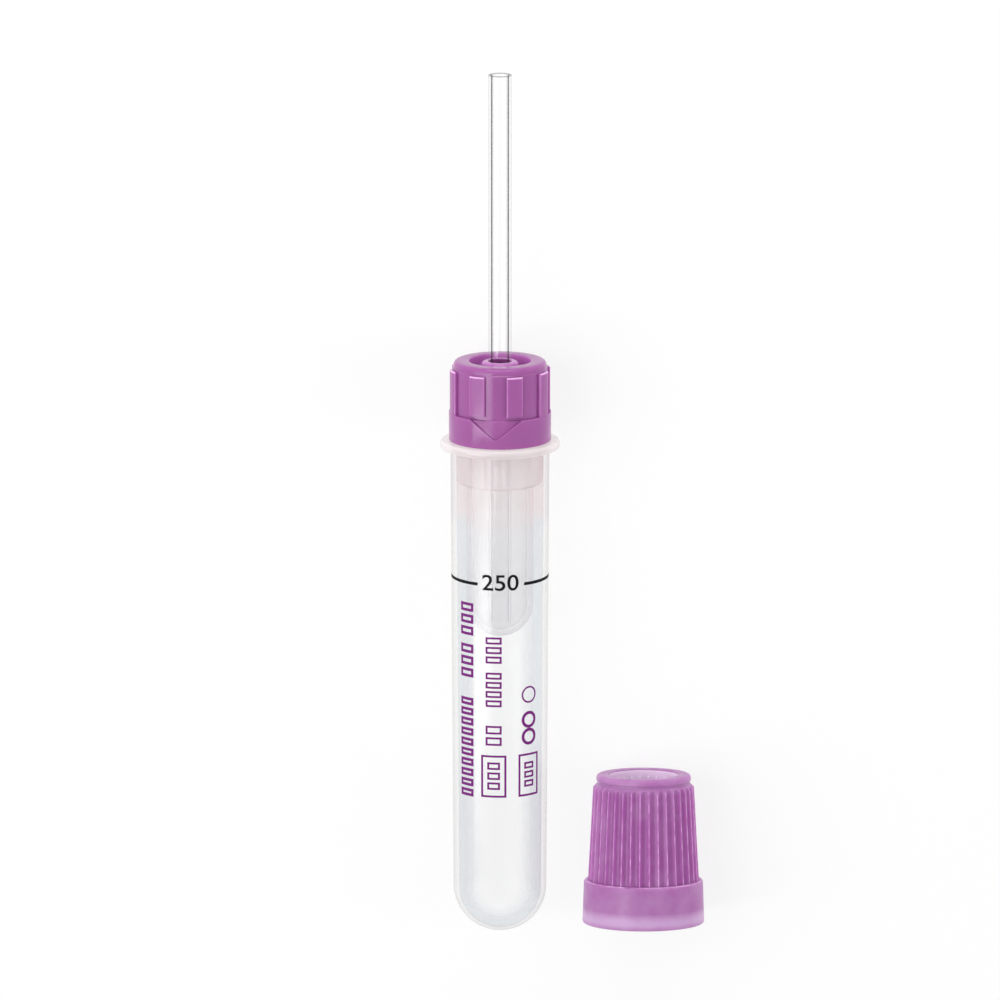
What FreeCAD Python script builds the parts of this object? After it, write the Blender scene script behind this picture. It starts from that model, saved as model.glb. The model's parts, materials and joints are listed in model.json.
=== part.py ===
"""Capillary blood collection tube, taken off its closure, as a parametric FreeCAD document.

A plain round-bottomed tube carries a moulded insert: a small round-bottomed vessel that hangs
from a collar, a flange and a neck. A violet holder with a straight capillary is pushed over the
neck, and the violet closure that later replaces it lies beside the tube. All sizes are in
millimetres.

The tube and the closure lie on the plane z = 0. The tube's axis runs along +Y towards its mouth,
its front faces up, and the origin is the centre of the whole set's footprint.
"""
import FreeCAD
import Part
import Sketcher
import math
import os

SIZES = (
    # outer tube
    ("tube_length", 65.7, "outer tube, from its rim to the tip of its round bottom"),
    ("tube_rim_diameter", 13.0, "outer tube, outside diameter at the rim"),
    ("tube_foot_diameter", 12.34, "outer tube, outside diameter where the round bottom starts"),
    ("tube_wall", 0.7, "outer tube, wall"),
    # insert: vessel, collar, flange and neck in one moulding
    ("vessel_diameter", 8.8, "vessel, outside diameter"),
    ("vessel_bore", 7.1, "vessel, inside diameter"),
    ("vessel_depth", 21.0, "vessel, from the flange's underside to the centre of its round bottom"),
    ("collar_length", 4.7, "collar that plugs the outer tube, below the flange"),
    ("collar_clearance", 0.03, "collar, radial play at its tightest place in the outer tube"),
    ("collar_rounding", 0.6, "collar, lower outer edge"),
    ("vent_width", 1.8, "collar, width of each air groove"),
    ("vent_depth", 0.8, "collar, depth of each air groove"),
    ("vent_count", 3, "collar, number of air grooves"),
    ("flange_diameter", 15.68, "flange, outside diameter"),
    ("flange_thickness", 1.1, "flange, thickness"),
    ("flange_rounding", 0.4, "flange, rounding of both outer edges"),
    ("neck_diameter", 10.2, "neck above the flange, outside diameter"),
    ("neck_bore", 8.2, "neck, inside diameter"),
    ("neck_height", 8.6, "neck, height above the flange"),
    ("neck_rounding", 0.25, "neck, rounding of the mouth's edges"),
    ("bore_step", 2.2, "length over which the neck's bore narrows to the vessel's"),
    # holder
    ("holder_roof", 1.95, "holder, from its ceiling over the neck's mouth to its top face"),
    ("holder_diameter", 12.42, "holder, outside diameter between its grip ribs"),
    ("holder_top_step", 0.1, "holder, how far the rounded top edge is set in"),
    ("holder_top_rounding", 0.55, "holder, rounding of the top edge"),
    ("holder_top_height", 0.85, "holder, height of the set-in top"),
    ("skirt_diameter", 13.44, "holder, outside diameter of its plain skirt"),
    ("skirt_height", 3.8, "holder, height of its plain skirt"),
    ("skirt_rounding", 0.15, "holder, edges of the skirt"),
    ("holder_bore", 11.1, "holder, inside diameter of the skirt"),
    ("seat_gap", 0.05, "play between the holder and the flange and the neck's mouth"),
    ("grip_diameter", 13.33, "holder, diameter over its grip ribs"),
    ("grip_width", 2.28, "holder, width of a grip rib"),
    ("grip_drop", 1.05, "holder, how far the grip ribs' tops stay below its top face"),
    ("grip_count", 8, "holder, number of grip ribs"),
    ("grip_rounding", 0.15, "holder, upper edge of the grip ribs"),
    ("mark_half_width", 3.4, "holder, half the width of the arrow mark at the skirt's top"),
    ("mark_tip", 1.14, "holder, height of the arrow mark's tip above the flange"),
    ("mark_depth", 0.34, "holder, depth of the arrow mark at the skirt's top"),
    ("mark_tip_depth", 0.18, "holder, depth of the arrow mark at its tip"),
    ("mark_rounding", 0.4, "holder, rounding of the arrow mark's tip"),
    ("well_diameter", 8.1, "holder, diameter of the well in its top"),
    ("well_depth", 1.3, "holder, depth of the well"),
    ("well_rounding", 0.15, "holder, edge of the well"),
    ("collet_diameter", 4.9, "holder, boss round the capillary"),
    ("collet_drop", 0.1, "holder, how far the boss stays below the top face"),
    ("collet_rounding", 0.5, "holder, rounding of the boss"),
    ("plug_clearance", 0.1, "holder, radial play of its plug in the neck"),
    ("plug_wall", 0.7, "holder, wall of its plug"),
    ("plug_depth", 2.0, "holder, depth of its plug below the neck's mouth"),
    ("sleeve_diameter", 5.9, "holder, sleeve round the capillary"),
    ("sleeve_length", 7.6, "holder, length of the sleeve below its ceiling"),
    ("sleeve_rounding", 0.4, "holder, rounding of the sleeve's end"),
    # capillary
    ("capillary_diameter", 3.02, "capillary, outside diameter"),
    ("capillary_bore", 2.1, "capillary, inside diameter"),
    ("capillary_stand", 37.9, "capillary, length above the holder's top face"),
    ("capillary_gap", 0.75, "capillary, its inner end above the lowest point of the vessel's bore"),
    ("capillary_rounding", 0.15, "capillary, rounding of the edges at both ends"),
    ("capillary_clearance", 0.02, "holder, radial play round the capillary"),
    # closure
    ("closure_height", 19.9, "closure, height"),
    ("closure_foot_diameter", 16.2, "closure, outside diameter at its base"),
    ("closure_collar_diameter", 15.8, "closure, outside diameter at the collar's top"),
    ("closure_collar_height", 5.8, "closure, height of the plain collar"),
    ("closure_collar_rounding", 0.35, "closure, edge of the collar"),
    ("closure_root_diameter", 14.0, "closure, diameter between the ribs at the collar"),
    ("closure_head_diameter", 12.66, "closure, diameter between the ribs at their upper ends"),
    ("closure_rim_diameter", 12.54, "closure, outside diameter of the top rim"),
    ("closure_rim_height", 0.9, "closure, height of the top rim"),
    ("closure_rim_rounding", 0.45, "closure, rounding of the top rim"),
    ("closure_waist_diameter", 12.3, "closure, diameter of the waist below the top rim"),
    ("ridge_height", 0.42, "closure, height of its ribs"),
    ("ridge_width", 0.8, "closure, width of its ribs"),
    ("ridge_count", 36, "closure, number of ribs"),
    ("ridge_drop", 1.8, "closure, how far below its top the ribs start to slope in"),
    ("closure_recess_diameter", 9.06, "closure, recess in its top"),
    ("closure_recess_rounding", 0.3, "closure, edge of the recess"),
    ("flute_height", 0.35, "closure, height of the small ribs in the recess"),
    ("flute_width", 0.5, "closure, width of the small ribs in the recess"),
    ("flute_count", 24, "closure, number of small ribs in the recess"),
    ("flute_drop", 1.0, "closure, how far the small ribs stay below the top"),
    ("closure_clearance", 0.4, "closure, radial room round the neck"),
    ("closure_foot_wall", 0.8, "closure, wall of the thin edge at its base"),
    ("closure_foot_depth", 2.2, "closure, height of the thin edge at its base"),
    ("web_thickness", 1.0, "closure, thickness of the web above the membrane"),
    ("web_hole", 6.0, "closure, hole in the web"),
    # membrane
    ("membrane_thickness", 1.1, "membrane, thickness of its edge"),
    ("membrane_centre", 0.6, "membrane, thickness where it is pierced"),
    ("membrane_diameter", 10.3, "membrane, outside diameter"),
    ("membrane_clearance", 0.05, "membrane, radial play in its seat in the closure"),
    # layout
    ("closure_distance", 19.05, "distance between the tube's axis and the closure's axis"),
    ("closure_setback", 1.47, "how far the closure's base stands in from the tube's tip"),
    ("grip_turn", 17.3, "turn of the first grip rib from the front, in degrees"),
)

FULL_TURN = 360
QUARTER_TURN = 90

# Radii and heights that several pieces share, as expressions of the sheet.
# Heights along the tube count from the flange's underside, which is also the tube's rim.
TUBE_RIM = "Sizes.tube_rim_diameter / 2"
TUBE_FOOT = "Sizes.tube_foot_diameter / 2"
TUBE_FOOT_CENTRE = f"({TUBE_FOOT} - Sizes.tube_length)"
TUBE_TAPER = f"(({TUBE_RIM} - {TUBE_FOOT}) / (Sizes.tube_length - {TUBE_FOOT}))"
COLLAR = (f"({TUBE_RIM} - Sizes.tube_wall - Sizes.collar_length * {TUBE_TAPER}"
          " - Sizes.collar_clearance)")
VESSEL = "Sizes.vessel_diameter / 2"
NECK_TOP = "(Sizes.flange_thickness + Sizes.neck_height)"
HOLDER_FOOT = "(Sizes.flange_thickness + Sizes.seat_gap)"
SKIRT_TOP = "(Sizes.flange_thickness + Sizes.skirt_height)"
HOLDER_CEILING = f"({NECK_TOP} + Sizes.seat_gap)"
HOLDER_TOP = f"({HOLDER_CEILING} + Sizes.holder_roof)"
WELL_FLOOR = f"({HOLDER_TOP} - Sizes.well_depth)"
CAPILLARY_HOLE = "(Sizes.capillary_diameter / 2 + Sizes.capillary_clearance)"
CAPILLARY_END = "(Sizes.capillary_gap - Sizes.vessel_depth - Sizes.vessel_bore / 2)"
PLUG = "(Sizes.neck_bore / 2 - Sizes.plug_clearance)"
# Heights along the closure count from its base.
CLOSURE_BORE = "(Sizes.neck_diameter / 2 + Sizes.closure_clearance)"
MEMBRANE_SEAT = "(Sizes.membrane_diameter / 2 + Sizes.membrane_clearance)"
MEMBRANE_FOOT = "(Sizes.neck_height + Sizes.seat_gap)"
WEB_FOOT = f"({MEMBRANE_FOOT} + Sizes.membrane_thickness)"
WEB_TOP = f"({WEB_FOOT} + Sizes.web_thickness)"
RIM_FOOT = "(Sizes.closure_height - Sizes.closure_rim_height)"
ROOT = "Sizes.closure_root_diameter / 2"
ROOT_HEAD = "Sizes.closure_head_diameter / 2"
RIDGE_TOP = "(Sizes.closure_height - Sizes.ridge_drop)"
ROOT_SLOPE = f"(({ROOT} - {ROOT_HEAD}) / ({RIDGE_TOP} - Sizes.closure_collar_height))"
CREST_HEAD = f"({ROOT_HEAD} + Sizes.ridge_height)"
# Height over which the ribs run out where their slope meets the wall between them.
RIDGE_FADE = f"(Sizes.ridge_height / (1 - {ROOT_SLOPE}))"

DOME = "dome"


def make_sheet(doc):
    """Put every driving size in the spreadsheet, one named cell each."""
    sheet = doc.addObject("Spreadsheet::Sheet", "Sizes")
    for row, (name, size, meaning) in enumerate(SIZES, start=1):
        sheet.set(f"A{row}", name)
        sheet.set(f"B{row}", str(size))
        sheet.setAlias(f"B{row}", name)
        sheet.set(f"C{row}", meaning)
    doc.recompute()
    return sheet


def number(owner, text):
    """The value that an expression has now, as a plain number."""
    result = owner.evalExpression(text)
    return float(getattr(result, "Value", result))


# ---------------------------------------------------------------- sketches

def make_body(doc, name):
    """Start a body for one moulded piece."""
    return doc.addObject("PartDesign::Body", name)


def origin_feature(body, role):
    """One of the body's own planes or axes, found by its role."""
    for feature in body.Origin.OriginFeatures:
        if feature.Role == role:
            return feature
    raise LookupError(role)


def make_sketch(body, name, plane, height="0"):
    """An empty sketch on one of the body's planes, lifted off it by height."""
    sketch = body.newObject("Sketcher::SketchObject", name)
    sketch.AttachmentSupport = [(origin_feature(body, plane), "")]
    sketch.MapMode = "FlatFace"
    sketch.setExpression("AttachmentOffset.Base.z", height)
    return sketch


def hold(sketch, geometry, point, across, up):
    """Hold one point of the sketch at two expressions, measured from the origin."""
    for kind, text in (("DistanceX", across), ("DistanceY", up)):
        rule = Sketcher.Constraint(kind, -1, 1, geometry, point, number(sketch, text))
        index = sketch.addConstraint(rule)
        sketch.setExpression(f"Constraints[{index}]", text)


def round_corner(before, corner, after, radius):
    """Where a rounding leaves and meets the two sides of a corner, and its centre."""
    towards_before = (before - corner).normalize()
    towards_after = (after - corner).normalize()
    half_angle = towards_before.getAngle(towards_after) / 2
    reach = radius / math.tan(half_angle)
    bisector = (towards_before + towards_after).normalize()
    centre = corner + bisector * (radius / math.sin(half_angle))
    return corner + towards_before * reach, corner + towards_after * reach, centre


def arc_between(start, end, centre):
    """The short arc from start to end, and whether it runs clockwise."""
    radius = (start - centre).Length
    clockwise = (start - centre).cross(end - centre).z < 0
    first, last = (end, start) if clockwise else (start, end)
    angles = [math.atan2(point.y - centre.y, point.x - centre.x) for point in (first, last)]
    if angles[1] < angles[0]:
        angles[1] += 2 * math.pi
    circle = Part.Circle(centre, FreeCAD.Vector(0, 0, 1), radius)
    return Part.ArcOfCircle(circle, angles[0], angles[1]), clockwise


def dome_centre(start, end):
    """The point on the vertical axis that is as far from start as from end."""
    height = (end.x ** 2 + end.y ** 2 - start.x ** 2 - start.y ** 2) / (2 * (end.y - start.y))
    return FreeCAD.Vector(0, height, 0)


def draw_outline(sketch, steps):
    """Draw a closed outline and bind it to the sheet.

    Each step is a corner (across, up), a rounded corner (across, up, radius), or DOME, which
    makes the side between its two neighbours an arc centred on the vertical axis.
    """
    corners = [step for step in steps if step != DOME]
    domed = [following == DOME
             for step, following in zip(steps, steps[1:] + steps[:1]) if step != DOME]
    points = [FreeCAD.Vector(number(sketch, corner[0]), number(sketch, corner[1]), 0)
              for corner in corners]
    count = len(corners)
    arrive = list(points)
    leave = list(points)
    centres = [None] * count
    for i, corner in enumerate(corners):
        if len(corner) == 3:
            radius = number(sketch, corner[2])
            arrive[i], leave[i], centres[i] = round_corner(
                points[i - 1], points[i], points[(i + 1) % count], radius)
    sides = []
    for i in range(count):
        end = arrive[(i + 1) % count]
        if domed[i]:
            arc, clockwise = arc_between(leave[i], end, dome_centre(leave[i], end))
            side = sketch.addGeometry(arc, False)
            sketch.addConstraint(Sketcher.Constraint("PointOnObject", side, 3, -2))
            sides.append((side, 2, 1) if clockwise else (side, 1, 2))
        else:
            sides.append((sketch.addGeometry(Part.LineSegment(leave[i], end), False), 1, 2))
    for i, corner in enumerate(corners):
        before, _, before_end = sides[i - 1]
        after, after_start, _ = sides[i]
        if centres[i] is None:
            sketch.addConstraint(
                Sketcher.Constraint("Coincident", before, before_end, after, after_start))
            hold(sketch, after, after_start, corner[0], corner[1])
            continue
        arc, clockwise = arc_between(arrive[i], leave[i], centres[i])
        arc = sketch.addGeometry(arc, False)
        arc_start, arc_end = (2, 1) if clockwise else (1, 2)
        sharp = sketch.addGeometry(Part.Point(points[i]), True)
        hold(sketch, sharp, 1, corner[0], corner[1])
        sketch.addConstraint(Sketcher.Constraint("PointOnObject", sharp, 1, before))
        sketch.addConstraint(Sketcher.Constraint("PointOnObject", sharp, 1, after))
        sketch.addConstraint(Sketcher.Constraint("Tangent", before, before_end, arc, arc_start))
        sketch.addConstraint(Sketcher.Constraint("Tangent", arc, arc_end, after, after_start))
        rule = Sketcher.Constraint("Radius", arc, number(sketch, corner[2]))
        index = sketch.addConstraint(rule)
        sketch.setExpression(f"Constraints[{index}]", corner[2])
    return sketch


# ---------------------------------------------------------------- features

def revolve(body, name, steps, kind="Revolution"):
    """Turn an outline of radii and heights once round the body's axis."""
    sketch = draw_outline(make_sketch(body, name + "_outline", "XZ_Plane"), steps)
    feature = body.newObject("PartDesign::" + kind, name)
    feature.Profile = sketch
    feature.ReferenceAxis = (sketch, ["V_Axis"])
    feature.Angle = FULL_TURN
    sketch.Visibility = False
    return feature


def pad(body, name, steps, foot, height):
    """Raise an outline in the body's cross section from foot through height."""
    sketch = draw_outline(make_sketch(body, name + "_outline", "XY_Plane", foot), steps)
    feature = body.newObject("PartDesign::Pad", name)
    feature.Profile = sketch
    feature.setExpression("Length", height)
    return feature


def pocket(body, name, steps, mouth, depth):
    """Cut an outline in the body's cross section downwards from mouth."""
    sketch = draw_outline(make_sketch(body, name + "_outline", "XY_Plane", mouth), steps)
    feature = body.newObject("PartDesign::Pocket", name)
    feature.Profile = sketch
    feature.setExpression("Length", depth)
    return feature


def repeat_round(body, feature, count):
    """Repeat a feature evenly round the body's axis."""
    pattern = body.newObject("PartDesign::PolarPattern", feature.Name + "_pattern")
    pattern.Originals = [feature]
    pattern.Axis = (origin_feature(body, "Z_Axis"), [""])
    pattern.Angle = FULL_TURN
    pattern.setExpression("Occurrences", count)
    body.Tip = pattern
    return pattern


# ---------------------------------------------------------------- pieces

def make_outer_tube(doc):
    """Plain tube with a slight taper and a round bottom."""
    body = make_body(doc, "outer_tube")
    revolve(body, "tube_shell", [
        ("0", "-Sizes.tube_length"),
        DOME,
        (TUBE_FOOT, TUBE_FOOT_CENTRE),
        (TUBE_RIM, "0"),
        (f"{TUBE_RIM} - Sizes.tube_wall", "0"),
        (f"{TUBE_FOOT} - Sizes.tube_wall", TUBE_FOOT_CENTRE),
        DOME,
        ("0", "Sizes.tube_wall - Sizes.tube_length"),
    ])
    return body


def make_inner_vessel(doc):
    """Insert: round-bottomed vessel, collar with air grooves, flange and neck."""
    body = make_body(doc, "inner_vessel")
    bore = "Sizes.vessel_bore / 2"
    neck = "Sizes.neck_diameter / 2"
    neck_bore = "Sizes.neck_bore / 2"
    rounding = "Sizes.neck_rounding"
    flange = "Sizes.flange_diameter / 2"
    revolve(body, "vessel_shell", [
        ("0", f"-Sizes.vessel_depth - {VESSEL}"),
        DOME,
        (VESSEL, "-Sizes.vessel_depth"),
        (VESSEL, "-Sizes.collar_length"),
        (COLLAR, "-Sizes.collar_length", "Sizes.collar_rounding"),
        (COLLAR, "0"),
        (flange, "0", "Sizes.flange_rounding"),
        (flange, "Sizes.flange_thickness", "Sizes.flange_rounding"),
        (neck, "Sizes.flange_thickness"),
        (neck, NECK_TOP, rounding),
        (neck_bore, NECK_TOP, rounding),
        (neck_bore, "Sizes.bore_step / 2 - Sizes.collar_length"),
        (bore, "-Sizes.bore_step / 2 - Sizes.collar_length"),
        (bore, "-Sizes.vessel_depth"),
        DOME,
        ("0", f"-Sizes.vessel_depth - {bore}"),
    ])
    side = "Sizes.vent_width / 2"
    floor = f"{COLLAR} - Sizes.vent_depth"
    vent = pocket(body, "vent", [
        (f"-{side}", floor),
        (side, floor),
        (side, TUBE_RIM),
        (f"-{side}", TUBE_RIM),
    ], "0", "Sizes.collar_length + Sizes.collar_rounding")
    repeat_round(body, vent, "Sizes.vent_count")
    return body


def make_holder_body(doc):
    """Holder without its arrow mark: skirt, grip ribs, well, plug and capillary sleeve."""
    body = make_body(doc, "holder_body")
    skirt = "Sizes.skirt_diameter / 2"
    wall = "Sizes.holder_diameter / 2"
    top = "(Sizes.holder_diameter / 2 - Sizes.holder_top_step)"
    set_in = f"{HOLDER_TOP} - Sizes.holder_top_height"
    well = "Sizes.well_diameter / 2"
    collet = "Sizes.collet_diameter / 2"
    collet_top = f"{HOLDER_TOP} - Sizes.collet_drop"
    sleeve = "Sizes.sleeve_diameter / 2"
    plug_end = f"{NECK_TOP} - Sizes.plug_depth"
    plug_inside = f"{PLUG} - Sizes.plug_wall"
    sleeve_end = f"{HOLDER_CEILING} - Sizes.sleeve_length"
    revolve(body, "holder_shell", [
        ("Sizes.holder_bore / 2", HOLDER_FOOT),
        (skirt, HOLDER_FOOT, "Sizes.skirt_rounding"),
        (skirt, SKIRT_TOP, "Sizes.skirt_rounding"),
        (wall, SKIRT_TOP),
        (wall, f"{set_in} - Sizes.holder_top_step"),
        (top, set_in),
        (top, HOLDER_TOP, "Sizes.holder_top_rounding"),
        (well, HOLDER_TOP, "Sizes.well_rounding"),
        (well, WELL_FLOOR),
        (collet, WELL_FLOOR),
        (collet, collet_top, "Sizes.collet_rounding"),
        (CAPILLARY_HOLE, collet_top),
        (CAPILLARY_HOLE, sleeve_end),
        (sleeve, sleeve_end, "Sizes.sleeve_rounding"),
        (sleeve, HOLDER_CEILING),
        (plug_inside, HOLDER_CEILING),
        (plug_inside, plug_end),
        (PLUG, plug_end, "Sizes.plug_wall / 3"),
        (PLUG, HOLDER_CEILING),
        ("Sizes.holder_bore / 2", HOLDER_CEILING),
    ])
    side = "Sizes.grip_width / 2"
    inside = f"{wall} - Sizes.skirt_rounding"
    outside = "sqrt(Sizes.grip_diameter ^ 2 - Sizes.grip_width ^ 2) / 2"
    foot = f"{SKIRT_TOP} - Sizes.skirt_rounding"
    grip = pad(body, "grip", [
        (inside, f"-{side}"),
        (outside, f"-{side}", "Sizes.grip_rounding"),
        (outside, side, "Sizes.grip_rounding"),
        (inside, side),
    ], foot, f"{HOLDER_TOP} - Sizes.grip_drop - {foot}")
    repeat_round(body, grip, "Sizes.grip_count")
    return body


def make_mark_cutter(doc):
    """Triangle with its tip down, as deep as the arrow mark in the holder's skirt."""
    sketch = doc.addObject("Sketcher::SketchObject", "mark_outline")
    sketch.Placement.Rotation = FreeCAD.Rotation(FreeCAD.Vector(1, 0, 0), QUARTER_TURN)
    draw_outline(sketch, [
        ("0", "Sizes.flange_thickness + Sizes.mark_tip", "Sizes.mark_rounding"),
        ("Sizes.mark_half_width", SKIRT_TOP),
        ("-Sizes.mark_half_width", SKIRT_TOP),
    ])
    prism = doc.addObject("Part::Extrusion", "mark_prism")
    prism.Base = sketch
    prism.DirMode = "Normal"
    prism.Solid = True
    prism.setExpression("LengthFwd", "Sizes.skirt_diameter")
    core = doc.addObject("Part::Cone", "mark_core")
    core.setExpression("Radius1", "Sizes.skirt_diameter / 2 - Sizes.mark_tip_depth")
    core.setExpression("Radius2", "Sizes.skirt_diameter / 2 - Sizes.mark_depth")
    core.setExpression("Height", "Sizes.skirt_height - Sizes.mark_tip")
    core.setExpression("Placement.Base.z", "Sizes.flange_thickness + Sizes.mark_tip")
    cutter = doc.addObject("Part::Cut", "mark_cutter")
    cutter.Base = prism
    cutter.Tool = core
    return cutter


def make_capillary_holder(doc):
    """Holder with the arrow mark midway between two grip ribs."""
    holder = doc.addObject("Part::Cut", "capillary_holder")
    holder.Base = make_holder_body(doc)
    cutter = make_mark_cutter(doc)
    # The triangle is drawn facing -Y, and the first grip rib faces +X.
    cutter.setExpression("Placement.Rotation.Angle",
                         f"{QUARTER_TURN} - {FULL_TURN} / (2 * Sizes.grip_count)")
    holder.Tool = cutter
    return holder


def make_capillary(doc):
    """Straight open tube with softened ends."""
    body = make_body(doc, "capillary")
    tip = f"{HOLDER_TOP} + Sizes.capillary_stand"
    bore = "Sizes.capillary_bore / 2"
    outside = "Sizes.capillary_diameter / 2"
    revolve(body, "capillary_wall", [
        (bore, CAPILLARY_END, "Sizes.capillary_rounding"),
        (outside, CAPILLARY_END, "Sizes.capillary_rounding"),
        (outside, tip, "Sizes.capillary_rounding"),
        (bore, tip, "Sizes.capillary_rounding"),
    ])
    return body


def make_closure_cap(doc):
    """Closure: collar, ribbed grip, fluted recess, web and socket for the neck."""
    body = make_body(doc, "closure_cap")
    foot = "Sizes.closure_foot_diameter / 2"
    foot_bore = f"{foot} - Sizes.closure_foot_wall"
    collar = "Sizes.closure_collar_diameter / 2"
    collar_top = "Sizes.closure_collar_height"
    edge = "Sizes.closure_collar_rounding"
    rim = "Sizes.closure_rim_diameter / 2"
    top = "Sizes.closure_height"
    recess = "Sizes.closure_recess_diameter / 2"
    waist = "Sizes.closure_waist_diameter / 2"
    hole = "Sizes.web_hole / 2"
    revolve(body, "closure_shell", [
        (foot_bore, "0"),
        (foot, "0", edge),
        (collar, collar_top, edge),
        (ROOT, collar_top),
        (f"{ROOT_HEAD} - {ROOT_SLOPE} * {RIDGE_FADE}", f"{RIDGE_TOP} + {RIDGE_FADE}"),
        (waist, f"{RIDGE_TOP} + {CREST_HEAD} - {waist}"),
        (waist, RIM_FOOT),
        (rim, RIM_FOOT),
        (rim, top, "Sizes.closure_rim_rounding"),
        (recess, top, "Sizes.closure_recess_rounding"),
        (recess, WEB_TOP),
        (hole, WEB_TOP),
        (hole, WEB_FOOT),
        (MEMBRANE_SEAT, WEB_FOOT),
        (MEMBRANE_SEAT, MEMBRANE_FOOT),
        (CLOSURE_BORE, MEMBRANE_FOOT),
        (CLOSURE_BORE, "Sizes.closure_foot_depth"),
        (foot_bore, "Sizes.closure_foot_depth"),
    ])
    add_ridges(body)
    side = "Sizes.flute_width / 2"
    flute = pad(body, "flute", [
        (f"{recess} - Sizes.flute_height", f"-{side}"),
        (f"{recess} + {side}", f"-{side}"),
        (f"{recess} + {side}", side),
        (f"{recess} - Sizes.flute_height", side),
    ], f"{WEB_TOP} - {side}", f"Sizes.closure_height - Sizes.flute_drop - {WEB_TOP} + {side}")
    repeat_round(body, flute, "Sizes.flute_count")
    return body


def add_ridges(body):
    """Pointed ribs down the closure's grip, sloped in at the top."""
    overlap = "Sizes.ridge_height / 2"
    side = f"Sizes.ridge_width / 2 * (Sizes.ridge_height + {overlap}) / Sizes.ridge_height"
    levels = (
        ("ridge_foot", f"{ROOT} + {ROOT_SLOPE} * {overlap}",
         f"Sizes.closure_collar_height - {overlap}"),
        ("ridge_head", f"{ROOT_HEAD} - Sizes.ridge_height * {ROOT_SLOPE}",
         f"{RIDGE_TOP} + Sizes.ridge_height"),
    )
    sections = []
    for name, root, height in levels:
        sketch = make_sketch(body, name, "XY_Plane", height)
        draw_outline(sketch, [
            (f"{root} - {overlap}", f"-{side}"),
            (f"{root} + Sizes.ridge_height", "0"),
            (f"{root} - {overlap}", side),
        ])
        sections.append(sketch)
    ridge = body.newObject("PartDesign::AdditiveLoft", "ridge")
    ridge.Profile = sections[0]
    ridge.Sections = [sections[1]]
    ridge.Ruled = True
    repeat_round(body, ridge, "Sizes.ridge_count")
    outside = "Sizes.closure_foot_diameter / 2"
    waist = "Sizes.closure_waist_diameter / 2"
    revolve(body, "ridge_slope", [
        (outside, f"{RIDGE_TOP} - ({outside} - {CREST_HEAD})"),
        (waist, f"{RIDGE_TOP} + {CREST_HEAD} - {waist}"),
        (waist, RIM_FOOT),
        (outside, RIM_FOOT),
    ], kind="Groove")


def make_closure_membrane(doc):
    """Soft disc under the closure's web, thinner where it is pierced."""
    body = make_body(doc, "closure_membrane")
    edge = "Sizes.membrane_diameter / 2"
    hole = "Sizes.web_hole / 2"
    dip = "(Sizes.membrane_thickness - Sizes.membrane_centre) / 2"
    revolve(body, "membrane_disc", [
        ("0", f"{MEMBRANE_FOOT} + {dip}"),
        (f"{hole} - {dip}", f"{MEMBRANE_FOOT} + {dip}"),
        (hole, MEMBRANE_FOOT),
        (edge, MEMBRANE_FOOT),
        (edge, WEB_FOOT),
        (hole, WEB_FOOT),
        (f"{hole} - {dip}", f"{WEB_FOOT} - {dip}"),
        ("0", f"{WEB_FOOT} - {dip}"),
    ])
    return body


# ---------------------------------------------------------------- how the set lies

def tube_rest(sheet):
    """Tilt of the lying tube, in radians, and the height of its axis at the flange.

    It lies on its round bottom and on the flange's lower rounded edge.
    """
    ball = sheet.tube_foot_diameter / 2
    span = sheet.tube_length - ball + sheet.flange_rounding
    reach = sheet.flange_diameter / 2 - sheet.flange_rounding
    tilt = (math.atan2(reach, span)
            + math.asin((sheet.flange_rounding - ball) / math.hypot(span, reach)))
    return tilt, ball + (sheet.tube_length - ball) * math.sin(tilt)


def closure_rest(sheet):
    """Tilt of the lying closure, in radians, and the height of its axis at the base.

    It lies on its collar's upper edge and on the tops of two neighbouring ribs.
    """
    edge = sheet.closure_collar_rounding
    draft = math.atan2(sheet.closure_foot_diameter - sheet.closure_collar_diameter,
                       2 * sheet.closure_collar_height)
    collar_reach = (sheet.closure_collar_diameter / 2
                    + edge * math.tan(draft) - edge / math.cos(draft))
    collar_place = sheet.closure_collar_height - edge
    crest = sheet.closure_head_diameter / 2 + sheet.ridge_height
    rib_reach = crest * math.cos(math.pi / sheet.ridge_count)
    span = sheet.closure_height - sheet.ridge_drop - collar_place
    tilt = (math.atan2(collar_reach - rib_reach, span)
            + math.asin(edge / math.hypot(span, collar_reach - rib_reach)))
    height = collar_place * math.sin(tilt) + collar_reach * math.cos(tilt) + edge
    return tilt, height


def lying(tilt, turn):
    """Turn that lays a piece's axis along +Y, its mouth raised by tilt and its front up."""
    lay = FreeCAD.Rotation(FreeCAD.Vector(1, 0, 0), math.degrees(tilt) - QUARTER_TURN)
    return lay.multiply(FreeCAD.Rotation(FreeCAD.Vector(0, 0, 1), turn))


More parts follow.
